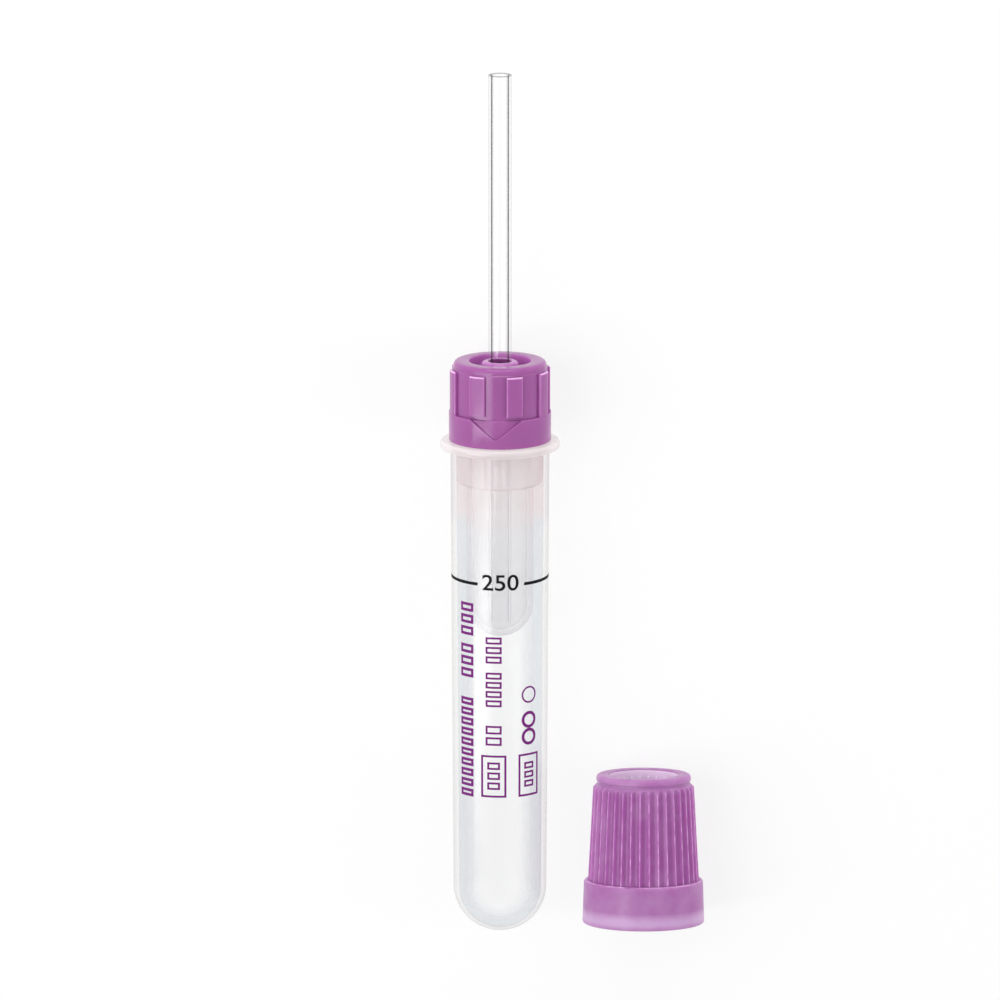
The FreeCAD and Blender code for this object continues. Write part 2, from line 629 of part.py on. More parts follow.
def lay_out(sheet, tube_pieces, closure_pieces):
    """Lay the pieces on z = 0 and centre the whole set's footprint on the origin."""
    tube_tilt, tube_height = tube_rest(sheet)
    closure_tilt, closure_height = closure_rest(sheet)
    ball = sheet.tube_foot_diameter / 2
    tube_tip = -(sheet.tube_length - ball) * math.cos(tube_tilt) - ball
    front = -QUARTER_TURN
    rib_pitch = FULL_TURN / sheet.ridge_count
    for piece in tube_pieces:
        turn = front + sheet.grip_turn if piece.Name == "capillary_holder" else 0
        piece.Placement = FreeCAD.Placement(
            FreeCAD.Vector(0, 0, tube_height), lying(tube_tilt, turn))
    for piece in closure_pieces:
        base = FreeCAD.Vector(
            sheet.closure_distance, tube_tip + sheet.closure_setback, closure_height)
        piece.Placement = FreeCAD.Placement(base, lying(-closure_tilt, front + rib_pitch / 2))
    box = FreeCAD.BoundBox()
    for piece in tube_pieces + closure_pieces:
        box.add(piece.Shape.optimalBoundingBox(False))
    centring = FreeCAD.Vector(-box.Center.x, -box.Center.y, 0)
    for piece in tube_pieces + closure_pieces:
        piece.Placement.Base = piece.Placement.Base + centring


def check(doc, pieces):
    """Stop if any object failed or any piece has no sound solid."""
    for item in doc.Objects:
        if "Invalid" in item.State or "Error" in item.State:
            raise RuntimeError(f"{item.Name} failed: {item.State}")
    for piece in pieces:
        if piece.Shape.isNull() or not piece.Shape.isValid():
            raise RuntimeError(f"{piece.Label} has no sound shape")
        if len(piece.Shape.Solids) != 1:
            raise RuntimeError(f"{piece.Label} is {len(piece.Shape.Solids)} solids")


def main():
    doc = FreeCAD.newDocument("blood_collection_tube")
    sheet = make_sheet(doc)
    tube_pieces = [
        make_outer_tube(doc),
        make_inner_vessel(doc),
        make_capillary_holder(doc),
        make_capillary(doc),
    ]
    closure_pieces = [
        make_closure_cap(doc),
        make_closure_membrane(doc),
    ]
    doc.recompute()
    lay_out(sheet, tube_pieces, closure_pieces)
    doc.recompute()
    pieces = tube_pieces + closure_pieces
    check(doc, pieces)
    os.makedirs("parts", exist_ok=True)
    for piece in pieces:
        piece.Shape.exportStep(f"parts/{piece.Label}.step")
        box = piece.Shape.optimalBoundingBox(False)
        print(f"{piece.Label}: {piece.Shape.Volume:.1f} mm3,"
              f" x {box.XMin:.3f} to {box.XMax:.3f}, y {box.YMin:.3f} to {box.YMax:.3f},"
              f" z {box.ZMin:.3f} to {box.ZMax:.3f}")


main()
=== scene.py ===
"""Dresses the capillary blood collection tube.

It models the fine shapes of the mouldings with their plastics and print, and sets the floor,
the lamps and the camera.
"""
import json
import math
from types import SimpleNamespace

import bmesh
import bpy
from mathutils import Matrix, Vector


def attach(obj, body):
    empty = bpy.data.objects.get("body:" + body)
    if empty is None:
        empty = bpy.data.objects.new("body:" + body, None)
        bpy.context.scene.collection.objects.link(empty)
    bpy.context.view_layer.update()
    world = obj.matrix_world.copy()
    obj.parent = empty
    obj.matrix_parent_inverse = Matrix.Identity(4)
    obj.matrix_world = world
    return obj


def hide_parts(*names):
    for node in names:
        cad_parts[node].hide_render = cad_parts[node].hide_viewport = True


bl_info = {
    "name": "Blood collection tube",
    "version": (1, 0, 0),
    "blender": (4, 5, 0),
    "location": "View3D > Sidebar > Tube",
    "description": "Models a capillary blood collection tube with its holder and closure",
    "category": "Object",
}

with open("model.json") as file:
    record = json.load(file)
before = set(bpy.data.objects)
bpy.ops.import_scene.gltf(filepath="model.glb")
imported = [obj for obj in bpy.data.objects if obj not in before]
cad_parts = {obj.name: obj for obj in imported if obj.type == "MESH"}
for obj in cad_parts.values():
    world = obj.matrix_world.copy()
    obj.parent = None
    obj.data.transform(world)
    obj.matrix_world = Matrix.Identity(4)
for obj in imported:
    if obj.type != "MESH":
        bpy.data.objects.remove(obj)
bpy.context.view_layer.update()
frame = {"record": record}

MM = 0.001
HALF_TURN = math.pi
FULL_TURN = 2 * math.pi
FRONT = -HALF_TURN / 2  # the side of the tube that faces up, as an angle round its axis
ROUND_STEPS = 4
DOME_STEPS = 24
PLAIN_STEPS = 128  # round the tube and the insert
HOLDER_STEPS = 240
GRIP_STEPS = 13  # of the holder's steps, from one side of a grip rib to the other
RIDGE_STEPS = 8  # from one of the closure's ribs to the next
SAME = 1e-3  # two heights, radii or angles that differ by less are the same
MERGE = 1e-4  # two points that are nearer than this are one

# Places of the faces' materials, in the order in which each piece lists them.
OUTSIDE, BORE = range(2)  # tube, insert and capillary
FLANGE, COLLAR = 2, 3  # insert
IN_INSERT, CUT_END = 2, 4  # capillary; the first is added to its outside's or its bore's
# On the holder, the edges' faces take painted highlights and the well's faces painted light.
PLAIN, LONG_HIGHLIGHT, END_HIGHLIGHT, WELL_LIGHT = range(4)  # holder
# On the closure, the recess's faces take painted light coming through and the edges' faces a
# painted highlight.
RECESS_GLOW, EDGE = 1, 2  # closure


# ---------------------------------------------------------------- sizes and colours

def linear(hex_colour):
    """Linear RGBA of an sRGB hex colour."""
    parts = [int(hex_colour[i:i + 2], 16) / 255 for i in (1, 3, 5)]
    return tuple(c / 12.92 if c <= 0.04045 else ((c + 0.055) / 1.055) ** 2.4
                 for c in parts) + (1.0,)


def length(name, description, millimetres):
    """A length property with its default in millimetres."""
    return bpy.props.FloatProperty(name=name, description=description,
                                   default=millimetres * MM, unit="LENGTH", precision=5)


def count(name, description, number):
    return bpy.props.IntProperty(name=name, description=description, default=number, min=1)


def colour(name, description, hex_colour):
    return bpy.props.FloatVectorProperty(name=name, description=description, size=4, min=0,
                                         max=1, subtype="COLOR", default=linear(hex_colour))


class TubeSizes(bpy.types.PropertyGroup):
    tube_length: length("Tube length", "Rim to the tip of the round bottom", 65.7)
    rim_diameter: length("Rim diameter", "Outside of the outer tube at its rim", 13.0)
    foot_diameter: length("Foot diameter", "Outside where the round bottom starts", 12.34)
    tube_wall: length("Tube wall", "Wall of the outer tube as it shows through the plastic", 0.75)
    tube_floor: length("Tube floor", "Thickness of the round bottom as it shows", 0.35)
    vessel_diameter: length("Vessel diameter", "Outside of the inner vessel", 8.8)
    vessel_bore: length("Vessel bore", "Inside of the inner vessel", 7.1)
    vessel_depth: length("Vessel depth", "Flange to the centre of the vessel's bottom", 21.0)
    collar_length: length("Collar length", "Collar that plugs the outer tube", 4.7)
    collar_diameter: length("Collar diameter", "Outside of the collar", 11.49)
    collar_rounding: length("Collar rounding", "Lower edge of the collar", 0.6)
    vents: count("Air grooves", "Number of air grooves in the collar", 3)
    vent_width: length("Vent width", "Width of each air groove in the collar", 1.8)
    vent_depth: length("Vent depth", "Depth of each air groove in the collar", 0.8)
    flange_diameter: length("Flange diameter", "Outside of the flange", 15.68)
    flange_thickness: length("Flange thickness", "Thickness of the flange", 1.1)
    flange_rounding: length("Flange rounding", "Edges of the flange", 0.4)
    neck_diameter: length("Neck diameter", "Outside of the neck", 10.2)
    neck_bore: length("Neck bore", "Inside of the neck", 8.2)
    neck_height: length("Neck height", "Neck above the flange", 8.6)
    neck_rounding: length("Neck rounding", "Edges of the neck's mouth", 0.25)
    bore_step: length("Bore step", "Height over which the bore narrows", 2.2)
    capillary_diameter: length("Capillary diameter", "Outside of the capillary", 3.02)
    capillary_bore: length("Capillary bore", "Inside of the capillary as it shows", 2.36)
    capillary_stand: length("Capillary stand", "Capillary above the holder", 37.9)
    capillary_foot: length("Capillary foot", "Capillary's lower end from the flange", -23.8)
    capillary_rounding: length("Capillary rounding", "Edges of both ends", 0.15)
    fill_level: length("Fill level", "Fill line from the flange", -17.1)


class HolderSizes(bpy.types.PropertyGroup):
    seat_gap: length("Seat gap", "Play between the holder, flange and neck", 0.05)
    roof: length("Roof", "Ceiling to top face", 1.95)
    wall_diameter: length("Wall diameter", "Outside between the grip ribs", 12.42)
    top_step: length("Top step", "How far the rounded top edge is set in", 0.1)
    top_height: length("Top height", "Height of the set-in top", 0.85)
    top_rounding: length("Top rounding", "Rounding of the top edge", 0.55)
    skirt_diameter: length("Skirt diameter", "Outside of the plain skirt", 13.44)
    skirt_height: length("Skirt height", "Flange to the skirt's top", 3.8)
    skirt_rounding: length("Skirt rounding", "Edges of the skirt", 0.15)
    bore: length("Bore", "Inside of the skirt", 11.1)
    grip_diameter: length("Grip diameter", "Over the grip ribs", 13.33)
    grip_drop: length("Grip drop", "Grip ribs' tops below the top face", 1.05)
    grip_rounding: length("Grip rounding", "Edges of the grip ribs", 0.22)
    grips: count("Grip ribs", "Number of grip ribs", 8)
    grip_turn: bpy.props.FloatProperty(name="Grip turn", subtype="ANGLE",
                                       description="First grip rib from the front",
                                       default=math.radians(17.3))
    mark_half_width: length("Mark half width", "Arrow mark at the skirt's top", 3.4)
    mark_tip: length("Mark tip", "Arrow mark's tip above the flange", 1.14)
    mark_depth: length("Mark depth", "Arrow mark at the skirt's top", 0.34)
    mark_tip_depth: length("Mark tip depth", "Arrow mark at its tip", 0.18)
    well_diameter: length("Well diameter", "Well in the top face", 8.1)
    well_depth: length("Well depth", "Depth of the well", 1.3)
    well_rounding: length("Well rounding", "Edge of the well", 0.15)
    collet_diameter: length("Boss diameter", "Boss round the capillary", 4.9)
    collet_drop: length("Boss drop", "Boss below the top face", 0.1)
    collet_rounding: length("Boss rounding", "Edge of the boss", 0.5)
    plug_clearance: length("Plug clearance", "Play of the plug in the neck", 0.1)
    plug_wall: length("Plug wall", "Wall of the plug", 0.7)
    plug_depth: length("Plug depth", "Plug below the neck's mouth", 2.0)
    sleeve_diameter: length("Sleeve diameter", "Sleeve round the capillary", 5.9)
    sleeve_length: length("Sleeve length", "Sleeve below the holder's ceiling", 7.6)
    sleeve_rounding: length("Sleeve rounding", "Sleeve's lower edge", 0.4)
    capillary_clearance: length("Capillary clearance", "Play round the capillary", 0.02)


class ClosureSizes(bpy.types.PropertyGroup):
    height: length("Height", "Height of the closure", 19.9)
    foot_diameter: length("Foot diameter", "Outside at the base", 16.2)
    collar_diameter: length("Collar diameter", "Outside at the collar's top", 15.8)
    collar_height: length("Collar height", "Height of the plain collar", 5.8)
    collar_rounding: length("Collar rounding", "Edges of the collar", 0.35)
    root_diameter: length("Root diameter", "Between the ribs at the collar", 14.0)
    head_diameter: length("Head diameter", "Between the ribs at the top", 12.66)
    waist_diameter: length("Waist diameter", "Below the top rim", 12.3)
    rim_diameter: length("Rim diameter", "Outside of the top rim", 12.54)
    rim_height: length("Rim height", "Height of the top rim", 0.9)
    rim_rounding: length("Rim rounding", "Edge of the top rim", 0.45)
    ridges: count("Ribs", "Number of ribs round the grip", 36)
    ridge_height: length("Rib height", "How far the ribs stand out", 0.42)
    ridge_drop: length("Rib drop", "Ribs' slope below the top", 1.8)
    ridge_rounding: length("Rib rounding", "Crest of each rib", 0.07)
    recess_diameter: length("Recess diameter", "Recess in the top", 9.06)
    recess_rounding: length("Recess rounding", "Edge of the recess", 0.3)
    flutes: count("Flutes", "Small ribs in the recess", 24)
    flute_height: length("Flute height", "How far they stand in", 0.35)
    flute_drop: length("Flute drop", "How far they stay below the top", 1.0)
    neck_room: length("Neck room", "Radial room round the neck", 0.4)
    foot_wall: length("Foot wall", "Wall of the thin edge at the base", 0.8)
    foot_depth: length("Foot depth", "Height of the thin edge", 2.2)
    web: length("Web", "Web over the membrane", 1.0)
    web_hole: length("Web hole", "Hole in the web", 6.0)
    membrane_thickness: length("Membrane edge", "Thickness of the membrane's edge", 1.1)
    membrane_centre: length("Membrane centre", "Thickness where it is pierced", 0.6)
    membrane_diameter: length("Membrane diameter", "Outside of the membrane", 10.3)
    membrane_clearance: length("Membrane play", "Play in its seat", 0.05)


class Finish(bpy.types.PropertyGroup):
    tube: colour("Tube", "Milk in the outer tube's plastic", "#D8D4CF")
    tube_bore: colour("Tube's bore", "Milk in its inner side", "#CFD7DD")
    # Painted glow: the holder's violet light on the milky outer tube near it, painted into its
    # colour.
    tube_tinted: colour("Tube, tinted", "The outer tube near the violet holder", "#CABFC2")
    insert: colour("Insert", "Milk in the vessel's plastic", "#D8D3D8")
    insert_bore: colour("Insert's bore", "Milk in its inner side", "#D8D6DA")
    collar: colour("Collar", "Milk in the insert's collar", "#E8DADB")
    flange: colour("Flange", "Milk in the insert's flange", "#F9F3F2")
    # Painted glow of the holder's violet light on the other milky walls near it.
    holder_glow: colour("Milk, tinted", "The other milky walls near the holder", "#E6D6D8")
    # Painted shade: grey lines where the capillary's outside and bore are seen on edge, and a dark
    # cut end.
    capillary: colour("Capillary", "Clear plastic seen on edge", "#B4B4B6")
    capillary_bore: colour("Capillary's bore", "Dark line where it is seen on edge", "#504E50")
    capillary_end: colour("Capillary's end", "Upper cut end", "#504E56")
    # Paler copies of the capillary's painted shade, for its length inside the insert.
    capillary_inside: colour("Capillary, inside", "Its length in the insert", "#E4E4E6")
    bore_inside: colour("Capillary's bore, inside", "Its length in the insert", "#C6C8D6")
    holder: colour("Holder", "Violet polyethylene of the holder", "#9B5697")
    # Painted highlights on the holder's edges: bright on the grip ribs' upper ends, milder on their
    # long edges and the well's edge.
    holder_edge: colour("Holder, painted end-edge highlight", "Painted highlight on the grip ribs' upper edges", "#D9A6D8")
    holder_side: colour("Holder, painted long-edge highlight", "Painted highlight on the grip ribs' long edges", "#AB69A7")
    # Painted light: a lighter violet for the well, its boss and the capillary's hole, where they
    # lie in shade.
    holder_well: colour("Holder, painted well light", "Painted light in the holder's well", "#BC76BA")
    closure: colour("Closure", "Violet polyethylene of the closure", "#9B5599")
    # Painted light coming through the closure's walls: near its foot, under the collar's ledge and
    # near the rim.
    closure_thin: colour("Closure, painted glow", "Painted light coming through the closure's wall", "#BE9CC3")
    # Painted light: a pale violet for the recess, as light coming through its wall.
    closure_recess: colour("Closure, painted recess glow", "Painted light coming through round the closure's recess", "#EBD6ED")
    # Painted highlight on the closure's rib crests and the collar's upper edge, broken in places.
    closure_edge: colour("Closure, painted edge highlight", "Painted highlight on the closure's edges", "#D2A5D3")
    membrane: colour("Membrane", "Soft elastomer", "#D9C4DA")
    black_ink: colour("Black ink", "Fill line and its number", "#0C0C0E")
    violet_ink: colour("Violet ink", "Plain printed fields", "#742676")
    floor: colour("Floor", "Pale studio floor", "#F2F2F2")


GROUPS = {"tube_sizes": TubeSizes, "holder_sizes": HolderSizes,
          "closure_sizes": ClosureSizes, "finish": Finish}


def in_millimetres(group):
    """The group's values by name, with its lengths in millimetres."""
    values = {}
    for item in group.bl_rna.properties:
        if item.identifier not in ("rna_type", "name"):
            value = getattr(group, item.identifier)
            is_length = getattr(item, "unit", "NONE") == "LENGTH"
            values[item.identifier] = value / MM if is_length else value
    return SimpleNamespace(**values)


def sizes():
    scene = bpy.context.scene
    return (in_millimetres(scene.tube_sizes), in_millimetres(scene.holder_sizes),
            in_millimetres(scene.closure_sizes))


# ---------------------------------------------------------------- places

def mount(name):
    """Place and axis of one of the part's mounts."""
    found = next(m for m in frame["record"]["mounts"] if m["name"] == name)
    return Vector(found["pos_m"]), Vector(found["axis"]).normalized()


def upright(origin, axis, turn=0.0):
    """Matrix from millimetres round a Z axis to the lying piece, its front facing up."""
    side = Vector((1, 0, 0))
    turned = Matrix((side, axis.cross(side), axis)).transposed().to_4x4()
    return (Matrix.Translation(origin) @ turned @ Matrix.Rotation(turn, 4, "Z")
            @ Matrix.Scale(MM, 4))


def holder_top(tube, holder):
    return tube.flange_thickness + tube.neck_height + holder.seat_gap + holder.roof


def capillary_ends(tube, holder):
    return tube.capillary_foot, holder_top(tube, holder) + tube.capillary_stand


def membrane_seat(tube, holder, closure):
    """Heights on the closure of the membrane's underside and of the web's two sides."""
    foot = tube.neck_height + holder.seat_gap
    web_foot = foot + closure.membrane_thickness
    return foot, web_foot, web_foot + closure.web


def tube_place(turn=0.0):
    """The tube's own frame: heights count from the flange's underside."""
    tube, holder, _ = sizes()
    middle, axis = mount("capillary_bore")
    return upright(middle - axis * sum(capillary_ends(tube, holder)) / 2 * MM, axis, turn)


def closure_place():
    """The closure's own frame: heights count from its base."""
    tube, holder, closure = sizes()
    middle, out = mount("closure_socket")
    half_pitch = HALF_TURN / closure.ridges
    drop = (closure.foot_depth + membrane_seat(tube, holder, closure)[0]) / 2
    return upright(middle + out * drop * MM, -out, FRONT + half_pitch)


# ---------------------------------------------------------------- shapes

def soften(bm, geom, offset, affect="EDGES", segments=ROUND_STEPS, clamp_overlap=False):
    """Round off edges or corners, and return the new faces."""
    return bmesh.ops.bevel(bm, geom=geom, affect=affect, offset_type="OFFSET", offset=offset,
                           segments=segments, profile=0.5, material=-1,
                           clamp_overlap=clamp_overlap)["faces"]


def draw_outline(bm, corners, ends):
    """Edges through (radius, height, rounding) corners: closed, open or ended in domes."""
    points = [bm.verts.new((corner[0], 0, corner[1])) for corner in corners]
    for start, end in zip(points, points[1:]):
        bm.edges.new((start, end))
    if ends == "closed":
        bm.edges.new((points[-1], points[0]))
    for i, corner in enumerate(corners):
        if len(corner) > 2:
            here = Vector((corner[0], corner[1]))
            before = Vector(corners[i - 1][:2]) - here
            after = Vector(corners[(i + 1) % len(corners)][:2]) - here
            soften(bm, [points[i]], corner[2] / math.tan(before.angle(after) / 2), "VERTICES")
    if ends == "domed":
        for end in (points[0], points[-1]):
            bmesh.ops.spin(bm, geom=[end], cent=(0, 0, end.co.z), axis=(0, 1, 0),
                           angle=HALF_TURN / 2, steps=DOME_STEPS, use_merge=False)


def lathe(corners, steps, ends="closed"):
    """Solid of revolution round the Z axis."""
    bm = bmesh.new()
    draw_outline(bm, corners, ends)
    bmesh.ops.spin(bm, geom=bm.verts[:] + bm.edges[:], cent=(0, 0, 0), axis=(0, 0, 1),
                   angle=FULL_TURN, steps=steps, use_merge=True)
    bmesh.ops.remove_doubles(bm, verts=bm.verts, dist=MERGE)
    bmesh.ops.recalc_face_normals(bm, faces=bm.faces)
    return bm


def block(low, high, rounding):
    """A box between two corners, its edges rounded."""
    bm = bmesh.new()
    bmesh.ops.create_cube(bm, size=1)
    low, high = Vector(low), Vector(high)
    bmesh.ops.scale(bm, vec=high - low, verts=bm.verts)
    bmesh.ops.translate(bm, vec=(low + high) / 2, verts=bm.verts)
    soften(bm, bm.edges[:], rounding)
    return bm


def sweep_faces(bm, vec):
    """Make flat faces a solid plate."""
    bmesh.ops.recalc_face_normals(bm, faces=bm.faces)
    swept = bmesh.ops.extrude_face_region(bm, geom=bm.faces[:], use_keep_orig=True)["geom"]
    bmesh.ops.translate(bm, vec=vec, verts=[v for v in swept if isinstance(v, bmesh.types.BMVert)])
    bmesh.ops.recalc_face_normals(bm, faces=bm.faces)


def raise_faces(bm, faces, radius):
    """Push faces of a round wall out or in to another radius, with walls round them."""
    raised = bmesh.ops.extrude_face_region(bm, geom=faces)["geom"]
    bmesh.ops.delete(bm, geom=faces, context="FACES")
    for vert in raised:
        if isinstance(vert, bmesh.types.BMVert):
            set_radius(vert, radius)


def turn_mesh(bm, angle):
    bm.transform(Matrix.Rotation(angle, 4, "Z"))


def angle_of(point):
    return math.atan2(point.y, point.x)


def off_pitch(angle, pitch):
    """Signed angle from the nearest multiple of a pitch."""
    return angle - pitch * round(angle / pitch)


def radius_of(point):
    return math.hypot(point.x, point.y)


def set_radius(vert, radius):
    now = radius_of(vert.co)
    vert.co.x *= radius / now
    vert.co.y *= radius / now


def work_object(data):
    made = bpy.data.objects.new("work", data)
    bpy.context.scene.collection.objects.link(made)
    return made


def evaluated(made):
    """The object's shape with its modifiers applied."""
    depsgraph = bpy.context.evaluated_depsgraph_get()
    mesh = bpy.data.meshes.new_from_object(made.evaluated_get(depsgraph))
    bm = bmesh.new()
    bm.from_mesh(mesh)
    bpy.data.meshes.remove(mesh)
    return bm


def cut(bm, tool):
    """The first mesh without what the second takes up."""
    pair = []
    for source in (bm, tool):
        mesh = bpy.data.meshes.new("work")
        source.to_mesh(mesh)
        source.free()
        pair.append(work_object(mesh))
    step = pair[0].modifiers.new("cut", "BOOLEAN")
    step.operation = "DIFFERENCE"
    step.solver = "EXACT"
    step.object = pair[1]
    bm = evaluated(pair[0])
    for made in pair:
        mesh = made.data
        bpy.data.objects.remove(made)
        bpy.data.meshes.remove(mesh)
    return bm


def make_object(name, bm, place, materials, crease=32):
    """A smooth-shaded object at the origin, with its place in its mesh."""
    bm.transform(place)
    mesh = bpy.data.meshes.new(name)
    bm.to_mesh(mesh)
    bm.free()
    for material in materials:
        mesh.materials.append(material)
    mesh.polygons.foreach_set("use_smooth", [True] * len(mesh.polygons))
    mesh.set_sharp_from_angle(angle=math.radians(crease))
    made = bpy.data.objects.new(name, mesh)
    bpy.context.scene.collection.objects.link(made)
    return made


def add_piece(made, body, cad_node):
    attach(made, body)
    if cad_node:
        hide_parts(cad_node)


# ---------------------------------------------------------------- materials

HOLDER_GLOW_HEIGHTS = (-11.0, -8.5)  # where the painted glow of the holder's violet light on the milky plastic starts and is full
COVERED = 0.2  # share of the gloss on walls that lie inside another wall


def node(tree, kind, inputs=None, **settings):
    """Add a node with its settings, and set or link its inputs."""
    made = tree.nodes.new(kind)
    for name, value in settings.items():
        setattr(made, name, value)
    for socket, value in (inputs or {}).items():
        if isinstance(value, bpy.types.NodeSocket):
            tree.links.new(value, made.inputs[socket])
        else:
            made.inputs[socket].default_value = value
    return made


def new_material(name):
    material = bpy.data.materials.new(name)
    material.use_nodes = True
    material.node_tree.nodes.clear()
    return material, material.node_tree


def moulded_grain(tree, depth, grain=0.35):
    """Normal of a moulded skin: soft unevenness of a third of a millimetre."""
    place = node(tree, "ShaderNodeTexCoord").outputs["Object"]
    noise = node(tree, "ShaderNodeTexNoise",
                 {"Vector": place, "Scale": 1 / (grain * MM), "Detail": 2.0})
    return node(tree, "ShaderNodeBump", {"Strength": 1.0, "Distance": depth * MM,
                                         "Height": noise.outputs["Fac"]}).outputs["Normal"]


def patches(tree, size, low, high):
    """Slow unevenness over some millimetres, between two values."""
    place = node(tree, "ShaderNodeTexCoord").outputs["Object"]
    noise = node(tree, "ShaderNodeTexNoise",
                 {"Vector": place, "Scale": 1 / (size * MM), "Detail": 2.0})
    return node(tree, "ShaderNodeMapRange", {"Value": noise.outputs["Fac"], "From Min": 0.3,
                                             "From Max": 0.7, "To Min": low,
                                             "To Max": high}).outputs["Result"]


def step_along(tree, place, start, end, share=1.0):
    """Soft step along a piece's own axis: 0 at the start, a share at the end."""
    axis = place.col[2].xyz.normalized()
    zero = place.translation.dot(axis)
    along = node(tree, "ShaderNodeVectorMath", {
        0: node(tree, "ShaderNodeTexCoord").outputs["Object"], 1: tuple(axis)},
        operation="DOT_PRODUCT").outputs["Value"]
    return node(tree, "ShaderNodeMapRange", {
        "Value": along, "From Min": zero + start * MM, "From Max": zero + end * MM,
        "To Min": 0.0, "To Max": share}, interpolation_type="SMOOTHSTEP").outputs["Result"]


def see_through(tree, square_on, edge_on, start, full):
    """Opacity of a clear wall that grows from one value to another as the wall turns on edge.

    It is less on the side behind and for shadows."""
    turned = node(tree, "ShaderNodeLayerWeight", {"Blend": 0.5}).outputs["Facing"]
    opacity = node(tree, "ShaderNodeMapRange", {
        "Value": turned, "From Min": start, "From Max": full, "To Min": square_on,
        "To Max": edge_on}, interpolation_type="SMOOTHSTEP").outputs["Result"]
    behind = node(tree, "ShaderNodeNewGeometry").outputs["Backfacing"]
    shadow = node(tree, "ShaderNodeLightPath").outputs["Is Shadow Ray"]
    for case, share in ((behind, 0.3), (shadow, 0.4)):
        left = node(tree, "ShaderNodeMapRange", {
            "Value": case, "To Min": 1.0, "To Max": share}).outputs["Result"]
        opacity = node(tree, "ShaderNodeMath", {0: opacity, 1: left},
                       operation="MULTIPLY").outputs[0]
    return opacity


def clear_wall(tree, milk, roughness, opacity, normal=None, shine=1.0):
    """A glossy skin over a body that is partly clear and partly milky, lit through."""
    bend = {"Normal": normal} if normal else {}
    gloss = node(tree, "ShaderNodeBsdfGlossy", {"Roughness": roughness, **bend})
    lit = node(tree, "ShaderNodeBsdfDiffuse", {"Color": milk, **bend})
    glow = node(tree, "ShaderNodeBsdfTranslucent", {"Color": milk})
    body = node(tree, "ShaderNodeMixShader", {0: 0.5, 1: lit.outputs[0], 2: glow.outputs[0]})
    clear = node(tree, "ShaderNodeBsdfTransparent")
    inside = node(tree, "ShaderNodeMixShader", {
        0: opacity, 1: clear.outputs[0], 2: body.outputs[0]})
    sheen = node(tree, "ShaderNodeFresnel", {"IOR": 1.49, **bend}).outputs[0]
    behind = node(tree, "ShaderNodeNewGeometry").outputs["Backfacing"]
    outside = node(tree, "ShaderNodeMapRange", {
        "Value": behind, "To Min": shine, "To Max": 0.0}).outputs["Result"]
    shown = node(tree, "ShaderNodeMath", {0: sheen, 1: outside}, operation="MULTIPLY").outputs[0]
    skin = node(tree, "ShaderNodeMixShader", {
        0: shown, 1: inside.outputs[0], 2: gloss.outputs[0]})
    node(tree, "ShaderNodeOutputMaterial", {"Surface": skin.outputs[0]})


def natural_polypropylene(name, milk, holder_glow, shine=1.0, veil=0.0, **clearness):
    """Injection-moulded natural polypropylene: milky, glossy, clearer where seen square on.

    Near the violet holder its milk is painted with the holder's colour, a painted glow of the
    holder's violet light, and there it may be denser."""
    material, tree = new_material(name)
    # near_holder is the share of the painted violet glow, and of the denser milk under it.
    near_holder = step_along(tree, tube_place(), *HOLDER_GLOW_HEIGHTS)
    tint = node(tree, "ShaderNodeMix", {
        "Factor": near_holder, "A": milk, "B": holder_glow}, data_type="RGBA")
    opacity = node(tree, "ShaderNodeMath", {
        0: near_holder, 1: veil, 2: see_through(tree, **clearness)},
        operation="MULTIPLY_ADD", use_clamp=True)
    clear_wall(tree, tint.outputs["Result"], patches(tree, 6, 0.12, 0.2), opacity.outputs[0],
               moulded_grain(tree, 0.001), shine)
    return material


def clear_plastic(name, grey, **clearness):
    """Extruded clear plastic: nearly invisible, with a grey line of painted shade where it is seen
    on edge.
    """
    material, tree = new_material(name)
    clear_wall(tree, grey, 0.05, see_through(tree, **clearness))
    return material


def glossy_polyethylene(name, violet):
    """Moulded violet polyethylene: glossy and slightly waxy, with light just under its skin."""
    material, tree = new_material(name)
    shader = node(tree, "ShaderNodeBsdfPrincipled", {
        "Base Color": violet,
        "Roughness": patches(tree, 4, 0.14, 0.2),
        "IOR": 1.51,
        "Specular IOR Level": 0.3,
        "Subsurface Weight": 0.5,
        "Subsurface Radius": (1.0, 0.7, 0.95),
        "Subsurface Scale": 2 * MM,
        "Normal": moulded_grain(tree, 0.002)})
    node(tree, "ShaderNodeOutputMaterial", {"Surface": shader.outputs[0]})
    return material


def frosted_polyethylene(name, violet, lit=None, lit_share=None):
    """Violet polyethylene from a frosted mould: half-gloss, with light deep under its skin.

    Where a pattern gives a share, it takes the lit colour by that share: painted light coming
    through the plastic, or a painted highlight on an edge."""
    material, tree = new_material(name)
    if lit_share:
        violet = node(tree, "ShaderNodeMix", {
            "Factor": lit_share(tree), "A": violet, "B": lit}, data_type="RGBA").outputs["Result"]
    shader = node(tree, "ShaderNodeBsdfPrincipled", {
        "Base Color": violet,
        "Roughness": patches(tree, 3, 0.34, 0.44),
        "IOR": 1.51,
        "Specular IOR Level": 0.3,
        "Subsurface Weight": 0.6,
        "Subsurface Radius": (1.0, 0.75, 0.95),
        "Subsurface Scale": 2 * MM,
        "Normal": moulded_grain(tree, 0.006)})
    node(tree, "ShaderNodeOutputMaterial", {"Surface": shader.outputs[0]})
    return material


